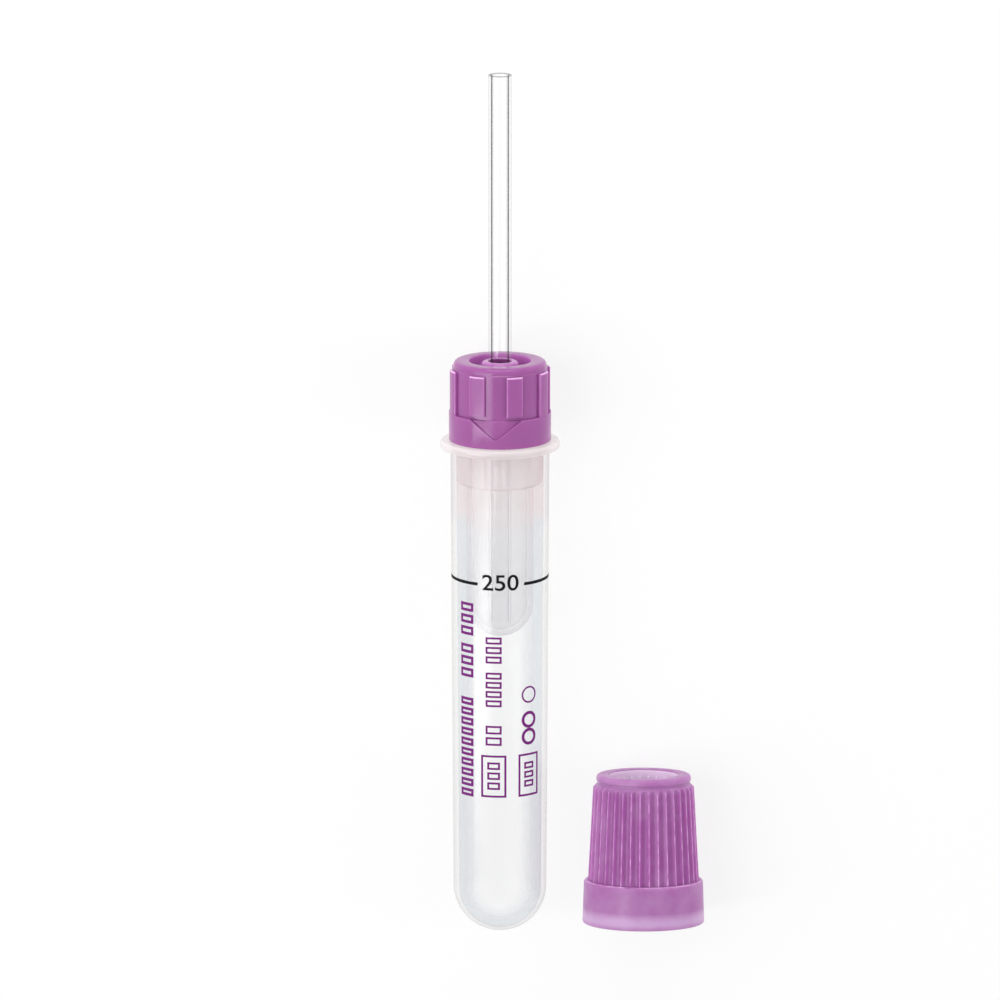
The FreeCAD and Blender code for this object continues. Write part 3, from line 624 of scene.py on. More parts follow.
def painted_glow_share(tree, place, closure):
    """Share of painted light coming through the closure: most near its foot but less at its very
    bottom, some at the collar and the rim, unevenly.
    """
    ledge, top = closure.collar_height, closure.height
    thin = 0.0
    for thick, thinned, share in ((2.9, 0.9, 1.0), (ledge + 0.4, ledge - 0.4, 0.22),
                                  (top - 2.6, top - 1.0, 0.3)):
        thin = node(tree, "ShaderNodeMath", {
            0: step_along(tree, place, thick, thinned, share), 1: thin},
            operation="MAXIMUM").outputs[0]
    for part, sign in ((step_along(tree, place, 0.9, 0.1, 0.55), "SUBTRACT"),
                       (patches(tree, 2.5, -0.08, 0.16), "ADD")):
        thin = node(tree, "ShaderNodeMath", {0: thin, 1: part}, operation=sign).outputs[0]
    return thin


def broken_highlight(tree):
    """Share of a painted highlight along a sharp edge, with dull places of about a millimetre."""
    return patches(tree, 1.2, 0.0, 1.0)


def soft_elastomer():
    """Moulded elastomer: matt, with a faint skin."""
    material, tree = new_material("pale elastomer, matt")
    shader = node(tree, "ShaderNodeBsdfPrincipled", {
        "Base Color": bpy.context.scene.finish.membrane,
        "Roughness": patches(tree, 2, 0.55, 0.7),
        "IOR": 1.43,
        "Subsurface Weight": 0.3,
        "Subsurface Radius": (1.0, 0.8, 1.0),
        "Subsurface Scale": 0.8 * MM,
        "Normal": moulded_grain(tree, 0.006)})
    node(tree, "ShaderNodeOutputMaterial", {"Surface": shader.outputs[0]})
    return material


def printing_ink(name, ink):
    """Pad-printed ink: thin and even, with a slightly mottled sheen."""
    material, tree = new_material(name)
    shader = node(tree, "ShaderNodeBsdfPrincipled", {
        "Base Color": ink,
        "Roughness": patches(tree, 0.8, 0.5, 0.65),
        "IOR": 1.5,
        "Specular IOR Level": 0.1})
    node(tree, "ShaderNodeOutputMaterial", {"Surface": shader.outputs[0]})
    return material


# ---------------------------------------------------------------- pieces

class TUBE_OT_outer_tube(bpy.types.Operator):
    """Model the round-bottomed outer tube"""
    bl_idname = "tube.outer_tube"
    bl_label = "Outer tube"

    def execute(self, context):
        tube, _, _ = sizes()
        finish = context.scene.finish
        rim, foot = tube.rim_diameter / 2, tube.foot_diameter / 2
        centre = foot - tube.tube_length
        rounding = tube.tube_wall / 4
        bm = lathe([
            (foot, centre),
            (rim, 0, rounding),
            (rim - tube.tube_wall, 0, rounding),
            (foot - tube.tube_wall, centre - tube.tube_wall + tube.tube_floor),
        ], PLAIN_STEPS, "domed")
        for face in bm.faces:
            point = face.calc_center_median()
            below = min(0, point.z - centre)
            taper = (rim - foot) * max(0, 1 - point.z / centre)
            reach = math.hypot(radius_of(point), below) - taper
            face.material_index = BORE if reach < foot - tube.tube_floor / 2 else OUTSIDE
        made = make_object("outer_tube_wall", bm, tube_place(), [
            natural_polypropylene("natural polypropylene, tube", finish.tube, finish.tube_tinted,
                                  veil=0.04, square_on=0.03, edge_on=0.5, start=0.4, full=0.95),
            natural_polypropylene("natural polypropylene, tube's bore", finish.tube_bore,
                                  finish.holder_glow, COVERED, square_on=0.06, edge_on=0.44,
                                  start=0.08, full=0.46)])
        add_piece(made, "tube", "outer_tube")
        return {"FINISHED"}


class TUBE_OT_inner_vessel(bpy.types.Operator):
    """Model the insert: vessel, collar with air grooves, flange and neck"""
    bl_idname = "tube.inner_vessel"
    bl_label = "Inner vessel"

    def execute(self, context):
        tube, _, _ = sizes()
        finish = context.scene.finish
        vessel, bore = tube.vessel_diameter / 2, tube.vessel_bore / 2
        collar, flange = tube.collar_diameter / 2, tube.flange_diameter / 2
        neck, neck_bore = tube.neck_diameter / 2, tube.neck_bore / 2
        neck_top = tube.flange_thickness + tube.neck_height
        half_step = tube.bore_step / 2
        collar_fillet, neck_fillet, bore_fillet, vent_edge = 0.25, 0.2, 0.5, 0.12
        bm = lathe([
            (vessel, -tube.vessel_depth),
            (vessel, -tube.collar_length, collar_fillet),
            (collar, -tube.collar_length, tube.collar_rounding),
            (collar, 0),
            (flange, 0, tube.flange_rounding),
            (flange, tube.flange_thickness, tube.flange_rounding),
            (neck, tube.flange_thickness, neck_fillet),
            (neck, neck_top, tube.neck_rounding),
            (neck_bore, neck_top, tube.neck_rounding),
            (neck_bore, half_step - tube.collar_length, bore_fillet),
            (bore, -half_step - tube.collar_length, bore_fillet),
            (bore, -tube.vessel_depth),
        ], PLAIN_STEPS, "domed")
        for i in range(tube.vents):
            vent = block((collar - tube.vent_depth, -tube.vent_width / 2, -2 * tube.collar_length),
                         (2 * collar, tube.vent_width / 2, 0), vent_edge)
            turn_mesh(vent, i * FULL_TURN / tube.vents)
            bm = cut(bm, vent)
        for face in bm.faces:
            middle = face.calc_center_median()
            below = min(0, middle.z + tube.vessel_depth)
            if middle.z > -0.1 and radius_of(middle) > neck:
                face.material_index = FLANGE
            elif math.hypot(radius_of(middle), below) <= (vessel + bore) / 2:
                face.material_index = BORE
            else:
                on_collar = middle.z > -tube.collar_length - 0.3
                face.material_index = COLLAR if on_collar else OUTSIDE
        growth = {"start": 0.3, "full": 0.9}
        made = make_object("inner_vessel_wall", bm, tube_place(), [
            natural_polypropylene("natural polypropylene, insert", finish.insert, finish.holder_glow,
                                  COVERED, square_on=0.27, edge_on=0.46, **growth),
            natural_polypropylene("natural polypropylene, insert's bore", finish.insert_bore,
                                  finish.holder_glow, COVERED, square_on=0.04, edge_on=0.16, **growth),
            natural_polypropylene("natural polypropylene, flange", finish.flange, finish.flange,
                                  square_on=0.65, edge_on=0.85, start=0.2, full=0.9),
            natural_polypropylene("natural polypropylene, collar", finish.collar, finish.holder_glow,
                                  COVERED, square_on=0.32, edge_on=0.42, **growth)])
        add_piece(made, "tube", "inner_vessel")
        return {"FINISHED"}


def add_grips(bm, holder, foot, head, side):
    """Raise the grip ribs on the holder's wall, with rounded edges."""
    pitch = FULL_TURN / holder.grips
    wall, grip = holder.wall_diameter / 2, holder.grip_diameter / 2

    def in_grip(point, spare):
        return abs(off_pitch(angle_of(point), pitch)) < side + spare

    def near(point, radius):
        return abs(radius_of(point) - radius) < 0.05

    raise_faces(bm, [f for f in bm.faces
                     if foot < f.calc_center_median().z < head
                     and near(f.calc_center_median(), wall)
                     and in_grip(f.calc_center_median(), SAME)], grip)
    bmesh.ops.remove_doubles(bm, verts=bm.verts, dist=MERGE)
    # The step on which the ribs stand is now inside them.
    hidden = [f for f in bm.faces
              if abs(f.calc_center_median().z - foot) < SAME
              and near(f.calc_center_median(), (wall + grip) / 2)
              and in_grip(f.calc_center_median(), -SAME)]
    bmesh.ops.delete(bm, geom=hidden, context="FACES")
    edges = [e for e in bm.edges
             if len(e.link_faces) == 2 and e.calc_face_angle(0) > 1.0
             and all(radius_of(v.co) > grip - SAME for v in e.verts)
             and all(foot - SAME < v.co.z < head + SAME for v in e.verts)
             and not all(abs(v.co.z - foot) < SAME for v in e.verts)]
    # The rounded faces take painted highlights: bright on the upper ends, milder along the long
    # edges.
    for face in soften(bm, edges, holder.grip_rounding, segments=3, clamp_overlap=True):
        at_top = face.calc_center_median().z > head - holder.grip_rounding
        face.material_index = END_HIGHLIGHT if at_top else LONG_HIGHLIGHT


def mark_cutter(tube, holder):
    """Triangle with its tip down, its floor nearer the axis at the skirt's top."""
    skirt = holder.skirt_diameter / 2
    wall = holder.wall_diameter / 2 - 0.002  # a hair inside it, so that no faces coincide
    tip = tube.flange_thickness + holder.mark_tip
    top = tube.flange_thickness + holder.skirt_height
    past = 0.5  # how far the cutter goes on beyond the skirt's top
    tip_rounding, floor_fillet = 0.45, 0.12
    half_top = holder.mark_half_width * (top + past - tip) / (top - tip)
    bm = bmesh.new()
    corners = [bm.verts.new((x, -2 * skirt, z))
               for x, z in ((0, tip), (half_top, top + past), (-half_top, top + past))]
    bm.faces.new(corners)
    soften(bm, [corners[0]], tip_rounding, "VERTICES")
    sweep_faces(bm, (0, 1.4 * skirt, 0))
    floor_at_tip = skirt - holder.mark_tip_depth
    core = lathe([
        (1, tip - past), (floor_at_tip, tip - past), (floor_at_tip, tip),
        (skirt - holder.mark_depth, top, floor_fillet), (wall, top), (wall, top + 2),
        (1, top + 2),
    ], HOLDER_STEPS)
    return cut(bm, core)


class TUBE_OT_holder(bpy.types.Operator):
    """Model the capillary holder: skirt, grip ribs, arrow mark, well, plug and sleeve"""
    bl_idname = "tube.holder"
    bl_label = "Capillary holder"

    def execute(self, context):
        tube, holder, _ = sizes()
        finish = context.scene.finish
        top = holder_top(tube, holder)
        neck_top = tube.flange_thickness + tube.neck_height
        ceiling = neck_top + holder.seat_gap
        foot = tube.flange_thickness + holder.seat_gap
        ledge = tube.flange_thickness + holder.skirt_height
        skirt, wall = holder.skirt_diameter / 2, holder.wall_diameter / 2
        grip, bore = holder.grip_diameter / 2, holder.bore / 2
        set_in = top - holder.top_height
        well, floor = holder.well_diameter / 2, top - holder.well_depth
        collet, collet_top = holder.collet_diameter / 2, top - holder.collet_drop
        hole = tube.capillary_diameter / 2 + holder.capillary_clearance
        sleeve, sleeve_end = holder.sleeve_diameter / 2, ceiling - holder.sleeve_length
        plug = tube.neck_bore / 2 - holder.plug_clearance
        plug_inside, plug_end = plug - holder.plug_wall, neck_top - holder.plug_depth
        grip_top = top - holder.grip_drop
        edge, well_fillet, bore_fillet = 0.1, 0.15, 0.2
        bm = lathe([
            (bore, foot, edge),
            (skirt, foot, holder.skirt_rounding),
            (skirt, ledge, skirt - grip - SAME),
            (grip, ledge),
            (wall, ledge),
            (wall, grip_top),
            (wall, set_in - holder.top_step),
            (wall - holder.top_step, set_in),
            (wall - holder.top_step, top, holder.top_rounding),
            (well, top, holder.well_rounding),
            (well, floor, well_fillet),
            (collet, floor, edge),
            (collet, collet_top, holder.collet_rounding),
            (hole, collet_top, edge),
            (hole, sleeve_end, edge),
            (sleeve, sleeve_end, holder.sleeve_rounding),
            (sleeve, ceiling),
            (plug_inside, ceiling),
            (plug_inside, plug_end, edge),
            (plug, plug_end, holder.plug_wall / 3),
            (plug, ceiling),
            (bore, ceiling, bore_fillet),
        ], HOLDER_STEPS)
        half_step = FULL_TURN / HOLDER_STEPS / 2
        turn_mesh(bm, half_step)
        add_grips(bm, holder, ledge, grip_top, GRIP_STEPS * half_step)
        # The well, its boss and the capillary's hole take a lighter violet, painted light where
        # they lie in shade.
        for face in bm.faces:
            middle = face.calc_center_median()
            reach = radius_of(middle)
            if (middle.z > floor - 0.01 and reach < well + 0.01
                    or middle.z > ceiling and reach < collet - 0.1):
                face.material_index = WELL_LIGHT
            # The well's rounded edge takes the painted highlight of the long edges.
            elif middle.z > top - holder.well_rounding and reach < wall - 1:
                face.material_index = LONG_HIGHLIGHT if middle.z < top - 0.01 else PLAIN
        cutter = mark_cutter(tube, holder)
        turn_mesh(cutter, -FRONT - HALF_TURN / holder.grips)
        bm = cut(bm, cutter)
        made = make_object("holder_moulding", bm, tube_place(FRONT + holder.grip_turn), [
            glossy_polyethylene("violet polyethylene, gloss", finish.holder),
            glossy_polyethylene("violet polyethylene, painted long-edge highlight", finish.holder_side),
            glossy_polyethylene("violet polyethylene, painted end-edge highlight", finish.holder_edge),
            glossy_polyethylene("violet polyethylene, painted well light", finish.holder_well)])
        add_piece(made, "holder", "capillary_holder")
        return {"FINISHED"}


class TUBE_OT_capillary(bpy.types.Operator):
    """Model the straight open capillary"""
    bl_idname = "tube.capillary"
    bl_label = "Capillary"

    def execute(self, context):
        tube, holder, _ = sizes()
        finish = context.scene.finish
        foot, tip = capillary_ends(tube, holder)
        bore, outside = tube.capillary_bore / 2, tube.capillary_diameter / 2
        rounding = tube.capillary_rounding
        bm = lathe([(bore, foot, rounding), (outside, foot, rounding), (outside, 0),
                    (outside, tip, rounding), (bore, tip, rounding), (bore, 0)], 96)
        for face in bm.faces:
            middle = face.calc_center_median()
            side = BORE if radius_of(middle) < bore + 0.01 else OUTSIDE
            # Inside the insert its painted shade is paler.
            if middle.z < 0:
                side += IN_INSERT
            face.material_index = CUT_END if middle.z > tip - rounding else side
        # Its grey lines and dark cut end are painted shade.
        made = make_object("capillary_tube", bm, tube_place(), [
            clear_plastic("clear plastic", finish.capillary,
                          square_on=0.0, edge_on=0.5, start=0.45, full=0.95),
            clear_plastic("clear plastic, bore", finish.capillary_bore,
                          square_on=0.01, edge_on=0.95, start=0.22, full=0.78),
            clear_plastic("clear plastic, in the insert", finish.capillary_inside,
                          square_on=0.02, edge_on=0.3, start=0.3, full=1.0),
            clear_plastic("clear plastic, bore in the insert", finish.bore_inside,
                          square_on=0.03, edge_on=0.5, start=0.2, full=1.0),
            clear_plastic("clear plastic, cut end", finish.capillary_end,
                          square_on=0.45, edge_on=0.9, start=0.5, full=1.0)])
        add_piece(made, "holder", "capillary")
        return {"FINISHED"}


class TUBE_OT_closure(bpy.types.Operator):
    """Model the ribbed closure with its fluted recess and socket"""
    bl_idname = "tube.closure"
    bl_label = "Closure"

    def execute(self, context):
        tube, holder, closure = sizes()
        place, finish = closure_place(), context.scene.finish
        bm = self.shape(tube, holder, closure)
        web_top = membrane_seat(tube, holder, closure)[2]
        collar, rounding = closure.collar_diameter / 2, closure.collar_rounding
        for face in bm.faces:
            middle = face.calc_center_median()
            below_ledge = closure.collar_height - middle.z
            # The recess takes a pale violet, painted light coming through its wall.
            if radius_of(middle) < closure.recess_diameter / 2 + 0.05 and middle.z > web_top - 0.05:
                face.material_index = RECESS_GLOW
            # The rounding under the collar's ledge takes the painted edge highlight.
            elif SAME < below_ledge < rounding / 4 and radius_of(middle) > collar - rounding:
                face.material_index = EDGE
        made = make_object("closure_moulding", bm, place, [
            # The frosted violet turns paler where light would come through: painted light.
            frosted_polyethylene("violet polyethylene, frosted", finish.closure,
                                 finish.closure_thin,
                                 lambda tree: painted_glow_share(tree, place, closure)),
            frosted_polyethylene("violet polyethylene, painted recess glow", finish.closure_recess),
            frosted_polyethylene("violet polyethylene, painted edge highlight", finish.closure,
                                 finish.closure_edge, broken_highlight)], crease=40)
        add_piece(made, "tube", "closure_cap")
        return {"FINISHED"}

    def shape(self, tube, holder, closure):
        foot, collar = closure.foot_diameter / 2, closure.collar_diameter / 2
        foot_bore = foot - closure.foot_wall
        root, head = closure.root_diameter / 2, closure.head_diameter / 2
        waist, rim = closure.waist_diameter / 2, closure.rim_diameter / 2
        recess, hole = closure.recess_diameter / 2, closure.web_hole / 2
        top, ledge = closure.height, closure.collar_height
        rim_foot = top - closure.rim_height
        # The ribs' upper ends lie on a cone of 45 degrees: radius and height add up to this.
        slope = top - closure.ridge_drop + head + closure.ridge_height
        membrane_foot, web_foot, web_top = membrane_seat(tube, holder, closure)
        socket = tube.neck_diameter / 2 + closure.neck_room
        seat = closure.membrane_diameter / 2 + closure.membrane_clearance
        flute_foot, flute_top = web_top + 0.2, top - closure.flute_drop
        foot_fillet, socket_fillet, web_fillet, hole_edge = 0.2, 0.3, 0.05, 0.15
        bm = lathe([
            (foot_bore, 0, foot_fillet),
            (foot, 0, closure.collar_rounding),
            (collar, ledge, closure.collar_rounding),
            (root, ledge),
            (head, slope - head),
            (waist, slope - waist),
            (waist, rim_foot),
            (rim, rim_foot + rim - waist),
            (rim, top, closure.rim_rounding),
            (recess, top, closure.recess_rounding),
            (recess, flute_top),
            (recess, flute_foot),
            (recess, web_top, web_fillet),
            (hole, web_top, hole_edge),
            (hole, web_foot),
            (seat, web_foot),
            (seat, membrane_foot),
            (socket, membrane_foot),
            (socket, closure.foot_depth, socket_fillet),
            (foot_bore, closure.foot_depth, socket_fillet),
        ], RIDGE_STEPS * closure.ridges)
        self.raise_ridges(bm, closure, root, head, slope)
        self.raise_flutes(bm, closure, recess, flute_foot, flute_top)
        return bm

    def raise_ridges(self, bm, closure, root, head, slope):
        """Lift a column of points into a crest at each pitch, with straight sides beside it."""
        pitch = FULL_TURN / closure.ridges
        half_width = pitch / 3  # of a rib, as an angle
        ledge = closure.collar_height
        for vert in bm.verts:
            radius, height = radius_of(vert.co), vert.co.z
            share = 1 - abs(off_pitch(angle_of(vert.co), pitch)) / half_width
            lift = closure.ridge_height * share
            if share < 0.05:
                continue
            if abs(height - ledge) < SAME and abs(radius - root) < SAME:
                set_radius(vert, root + lift)
            elif abs(height - (slope - head)) < SAME and abs(radius - head) < SAME:
                set_radius(vert, head + lift)
                vert.co.z = slope - head - lift
        crests = [e for e in bm.edges
                  if all(abs(off_pitch(angle_of(v.co), pitch)) < SAME for v in e.verts)
                  and min(radius_of(v.co) for v in e.verts) > head + closure.ridge_height - SAME
                  and min(v.co.z for v in e.verts) > ledge - SAME
                  and e.calc_length() > 1]
        # The crests' rounding takes the painted edge highlight.
        for face in soften(bm, crests, closure.ridge_rounding, segments=3, clamp_overlap=True):
            face.material_index = EDGE

    def raise_flutes(self, bm, closure, recess, foot, head):
        """Push short bars inwards from the recess's wall."""
        pitch = FULL_TURN / closure.flutes
        side = 2 * FULL_TURN / (RIDGE_STEPS * closure.ridges)
        raise_faces(bm, [f for f in bm.faces
                         if foot < f.calc_center_median().z < head
                         and abs(radius_of(f.calc_center_median()) - recess) < 0.05
                         and abs(off_pitch(angle_of(f.calc_center_median()), pitch)) < side],
                    recess - closure.flute_height)


class TUBE_OT_membrane(bpy.types.Operator):
    """Model the soft membrane under the closure's web"""
    bl_idname = "tube.membrane"
    bl_label = "Membrane"

    def execute(self, context):
        tube, holder, closure = sizes()
        foot, head, _ = membrane_seat(tube, holder, closure)
        edge, hole = closure.membrane_diameter / 2, closure.web_hole / 2
        dip = (closure.membrane_thickness - closure.membrane_centre) / 2
        chamfer = 0.1
        bm = lathe([
            (0, foot + dip), (hole - dip, foot + dip), (hole, foot), (edge - chamfer, foot),
            (edge, foot + chamfer), (edge, head - chamfer), (edge - chamfer, head), (hole, head),
            (hole - dip, head - dip), (0, head - dip),
        ], 72, "open")
        made = make_object("membrane_disc", bm, closure_place(), [soft_elastomer()])
        add_piece(made, "tube", "closure_membrane")
        return {"FINISHED"}


# ---------------------------------------------------------------- print

INK = 0.012  # thickness
INK_LIFT = 0.004  # between the tube and the ink's underside
PRINT_STEP = 0.3  # between the lines along which a print is bent


def wrap_on_tube(bm, tube, x, z):
    """Slice a flat print, centred at x round the tube and z along it, and bend it on."""
    low = min(v.co.x for v in bm.verts)
    high = max(v.co.x for v in bm.verts)
    place = low + PRINT_STEP
    while place < high:
        bmesh.ops.bisect_plane(bm, geom=bm.verts[:] + bm.edges[:] + bm.faces[:], dist=1e-6,
                               plane_co=(place, 0, 0), plane_no=(1, 0, 0))
        place += PRINT_STEP
    foot = tube.foot_diameter / 2
    taper = (tube.rim_diameter / 2 - foot) / (tube.tube_length - foot)
    for vert in bm.verts:
        along = z + vert.co.y
        outside = tube.rim_diameter / 2 + taper * along
        angle = FRONT + (x + vert.co.x) / outside
        radius = outside + INK_LIFT + vert.co.z
        vert.co = (radius * math.cos(angle), radius * math.sin(angle), along)
    return bm


def inked(bm, stroke=0.0):
    """Cut a flat shape down to its outline, if it has a stroke, and give it the ink's thickness."""
    if stroke:
        face = bm.faces[:][0]
        bmesh.ops.inset_region(bm, faces=[face], thickness=stroke, use_even_offset=True,
                               use_boundary=True)
        bmesh.ops.delete(bm, geom=[face], context="FACES_ONLY")
    sweep_faces(bm, (0, 0, INK))
    return bm


def flat_frame(width, height, stroke=0.0):
    """Rectangle, or its outline of even stroke."""
    bm = bmesh.new()
    bmesh.ops.create_grid(bm, x_segments=1, y_segments=1, size=0.5)
    bmesh.ops.scale(bm, vec=(width, height, 1), verts=bm.verts)
    return inked(bm, stroke)


def flat_ring(diameter, stroke):
    bm = bmesh.new()
    bmesh.ops.create_circle(bm, cap_ends=True, radius=diameter / 2, segments=48)
    return inked(bm, stroke)


def flat_number(text, width, height):
    """Digits of the given size, centred on the origin."""
    curve = bpy.data.curves.new("number", "FONT")
    curve.body = text
    curve.size = height
    curve.resolution_u = 6
    curve.offset = 0.02
    made = work_object(curve)
    bm = evaluated(made)
    bpy.data.objects.remove(made)
    bpy.data.curves.remove(curve)
    bmesh.ops.remove_doubles(bm, verts=bm.verts, dist=1e-6)
    xs, ys = [v.co.x for v in bm.verts], [v.co.y for v in bm.verts]
    bmesh.ops.translate(bm, verts=bm.verts,
                        vec=(-(min(xs) + max(xs)) / 2, -(min(ys) + max(ys)) / 2, 0))
    bmesh.ops.scale(bm, verts=bm.verts,
                    vec=(width / (max(xs) - min(xs)), height / (max(ys) - min(ys)), 1))
    return inked(bm)


def add_print(name, parts, ink):
    """One piece of all the parts of a print."""
    whole = bmesh.new()
    for part in parts:
        mesh = bpy.data.meshes.new("work")
        part.to_mesh(mesh)
        part.free()
        whole.from_mesh(mesh)
        bpy.data.meshes.remove(mesh)
    add_piece(make_object(name, whole, tube_place(), [ink]), "tube", None)


class TUBE_OT_fill_line(bpy.types.Operator):
    """Print the fill line and its plain number"""
    bl_idname = "tube.fill_line"
    bl_label = "Fill line"

    def execute(self, context):
        tube, _, _ = sizes()
        stroke, reach, gap = 0.42, 10.3, (-3.05, 3.3)  # the number stands in the gap
        parts = [wrap_on_tube(flat_frame(end - start, stroke), tube,
                              (start + end) / 2, tube.fill_level)
                 for start, end in ((-reach, gap[0]), (gap[1], reach))]
        parts.append(wrap_on_tube(flat_number("250", 4.9, 2.15), tube,
                                  0.05, tube.fill_level + 0.3))
        add_print("fill_line", parts,
                  printing_ink("black pad-printing ink", context.scene.finish.black_ink))
        return {"FINISHED"}


class TUBE_OT_violet_print(bpy.types.Operator):
    """Print plain violet fields: rows of small frames, two larger frames and rings"""
    bl_idname = "tube.violet_print"
    bl_label = "Violet print"

    def execute(self, context):
        tube, _, _ = sizes()
        parts = []
        left, middle, right = -4.8, -0.85, 4.1  # the three columns, round the tube
        rows = (  # column, width, stroke, number of frames, start and end along the tube
            (left, 2.2, 0.38, 3, -19.6, -24.4), (left, 2.2, 0.38, 3, -25.2, -30.1),
            (left, 2.2, 0.38, 10, -32.5, -46.3),
            (middle, 2.15, 0.27, 3, -24.0, -27.9), (middle, 2.15, 0.27, 4, -28.8, -33.8),
            (middle, 2.15, 0.27, 2, -36.0, -39.1), (middle, 1.7, 0.27, 3, -41.0, -45.1),
            (right, 1.5, 0.27, 3, -41.2, -44.9))
        for x, width, stroke, frames, start, end in rows:
            pitch = (start - end) / frames
            for i in range(frames):
                parts.append(wrap_on_tube(flat_frame(width, pitch * 0.74, stroke), tube,
                                          x, start - pitch * (i + 0.5)))
        for x, width, height in ((middle, 3.4, 5.75), (right, 3.2, 5.8)):
            parts.append(wrap_on_tube(flat_frame(width, height, 0.28), tube, x, -43.1))
        for z, stroke in ((-32.2, 0.24), (-35.6, 0.42), (-37.9, 0.42)):
            parts.append(wrap_on_tube(flat_ring(2.3, stroke), tube, right, z))
        add_print("violet_print", parts,
                  printing_ink("violet pad-printing ink", context.scene.finish.violet_ink))
        return {"FINISHED"}


# ---------------------------------------------------------------- stage

SOFTBOXES = (  # place from the set's middle, size, radiance, and whether gloss mirrors it
    ("key softbox", (-0.40, 0.05, 0.45), (0.45, 0.55), 2.1, True),
    ("strip softbox", (-0.41, -0.13, 0.44), (0.09, 0.50), 4.5, True),
    ("right softbox", (0.58, -0.05, 0.13), (0.16, 0.60), 6.5, False),
    ("left softbox", (-0.58, -0.05, 0.10), (0.12, 0.60), 0.8, False),
    ("end softbox", (0.0, 0.55, 0.20), (0.50, 0.16), 6.0, True))
WHITE = (1, 1, 1, 1)


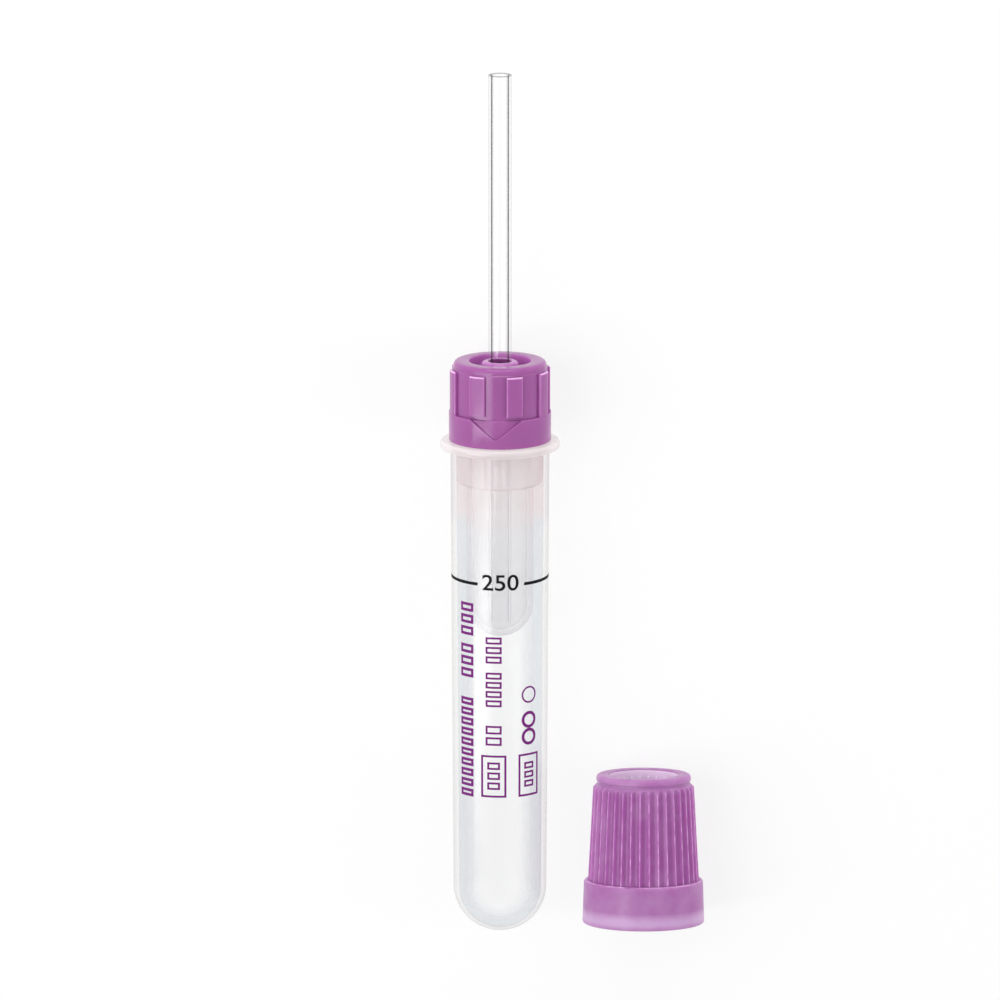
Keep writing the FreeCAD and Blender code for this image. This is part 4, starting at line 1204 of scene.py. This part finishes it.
class TUBE_OT_stage(bpy.types.Operator):
    """Set the pale floor, the soft lamps, the white surroundings and the camera"""
    bl_idname = "tube.stage"
    bl_label = "Stage"

    def execute(self, context):
        self.add_floor(context)
        self.set_world(context)
        self.add_camera(context)
        for lamp in SOFTBOXES:
            self.add_softbox(context, *lamp)
        return {"FINISHED"}

    def add_softbox(self, context, name, away, size, radiance, mirrored):
        """A rectangular lamp that faces the set's middle."""
        lamp = bpy.data.lights.new(name, "AREA")
        lamp.shape = "RECTANGLE"
        lamp.size, lamp.size_y = size
        lamp.energy = radiance * math.pi * size[0] * size[1]
        made = bpy.data.objects.new(name, lamp)
        away = Vector(away)
        made.location = Vector((0, 0, 8 * MM)) + away
        made.rotation_euler = away.to_track_quat("Z", "Y").to_euler()
        made.visible_glossy = mirrored
        context.scene.collection.objects.link(made)

    def seen_directly(self, tree):
        """1 for rays that show the surroundings: camera, glossy and transmission rays."""
        path = node(tree, "ShaderNodeLightPath")
        seen = path.outputs["Is Camera Ray"]
        for kind in ("Is Glossy Ray", "Is Transmission Ray"):
            seen = node(tree, "ShaderNodeMath", {0: seen, 1: path.outputs[kind]},
                        operation="MAXIMUM").outputs[0]
        return seen

    def add_floor(self, context):
        """Matt paper floor, bleached towards white where it is seen, so that shadows stay faint."""
        bm = bmesh.new()
        bmesh.ops.create_grid(bm, x_segments=1, y_segments=1, size=1.5)
        material, tree = new_material("matt studio floor")
        plain = node(tree, "ShaderNodeBsdfDiffuse", {"Color": context.scene.finish.floor})
        white = node(tree, "ShaderNodeEmission", {"Color": WHITE, "Strength": 1.0})
        share = node(tree, "ShaderNodeMath", {0: self.seen_directly(tree), 1: 0.8},
                     operation="MULTIPLY")
        mixed = node(tree, "ShaderNodeMixShader", {
            0: share.outputs[0], 1: plain.outputs[0], 2: white.outputs[0]})
        node(tree, "ShaderNodeOutputMaterial", {"Surface": mixed.outputs[0]})
        make_object("studio_floor", bm, Matrix.Identity(4), [material])

    def set_world(self, context):
        """White surroundings, which light the set at half their strength."""
        world = bpy.data.worlds.new("white studio")
        context.scene.world = world
        world.use_nodes = True
        tree = world.node_tree
        tree.nodes.clear()
        strength = node(tree, "ShaderNodeMapRange", {
            "Value": self.seen_directly(tree), "To Min": 0.5, "To Max": 1.0})
        back = node(tree, "ShaderNodeBackground", {
            "Color": WHITE, "Strength": strength.outputs["Result"]})
        node(tree, "ShaderNodeOutputWorld", {"Surface": back.outputs[0]})

    def add_camera(self, context):
        """Camera over the tube, leaning a little towards its mouth."""
        place = tube_place()
        axis, front = place.col[2].xyz.normalized(), -place.col[1].xyz.normalized()
        target = place @ Vector((0, 0, -7.12))
        lean, distance, view_width = math.radians(13.1), 1.0, 0.1315
        back = front * math.cos(lean) + axis * math.sin(lean)
        across = Vector((1, 0, 0))
        camera = bpy.data.cameras.new("camera")
        camera.lens = camera.sensor_width * distance / view_width
        made = bpy.data.objects.new("camera", camera)
        turned = Matrix((across, back.cross(across), back)).transposed().to_4x4()
        made.matrix_world = Matrix.Translation(target + back * distance) @ turned
        context.scene.collection.objects.link(made)
        context.scene.camera = made
        context.scene.view_settings.view_transform = "Standard"
        # A line of sight passes up to 12 clear surfaces here, which the default limit cuts off.
        context.scene.cycles.transparent_max_bounces = 24


# ---------------------------------------------------------------- add-on

OPERATORS = (TUBE_OT_outer_tube, TUBE_OT_inner_vessel, TUBE_OT_holder, TUBE_OT_capillary,
             TUBE_OT_closure, TUBE_OT_membrane, TUBE_OT_fill_line, TUBE_OT_violet_print,
             TUBE_OT_stage)


class TUBE_PT_panel(bpy.types.Panel):
    """Lists the pieces in the 3D view's sidebar"""
    bl_idname = "TUBE_PT_panel"
    bl_label = "Blood collection tube"
    bl_space_type = "VIEW_3D"
    bl_region_type = "UI"
    bl_category = "Tube"

    def draw(self, context):
        for piece in OPERATORS:
            self.layout.operator(piece.bl_idname)
        for name, group in GROUPS.items():
            box = self.layout.box()
            for item in group.__annotations__:
                box.prop(getattr(context.scene, name), item)


def register():
    for group in (*GROUPS.values(), *OPERATORS, TUBE_PT_panel):
        bpy.utils.register_class(group)
    for name, group in GROUPS.items():
        setattr(bpy.types.Scene, name, bpy.props.PointerProperty(type=group))


def unregister():
    for name in GROUPS:
        delattr(bpy.types.Scene, name)
    for group in reversed((*GROUPS.values(), *OPERATORS, TUBE_PT_panel)):
        bpy.utils.unregister_class(group)


def main():
    register()
    for piece in OPERATORS:
        family, name = piece.bl_idname.split(".")
        getattr(getattr(bpy.ops, family), name)()
    bpy.context.view_layer.update()


if __name__ == "__main__":
    main()
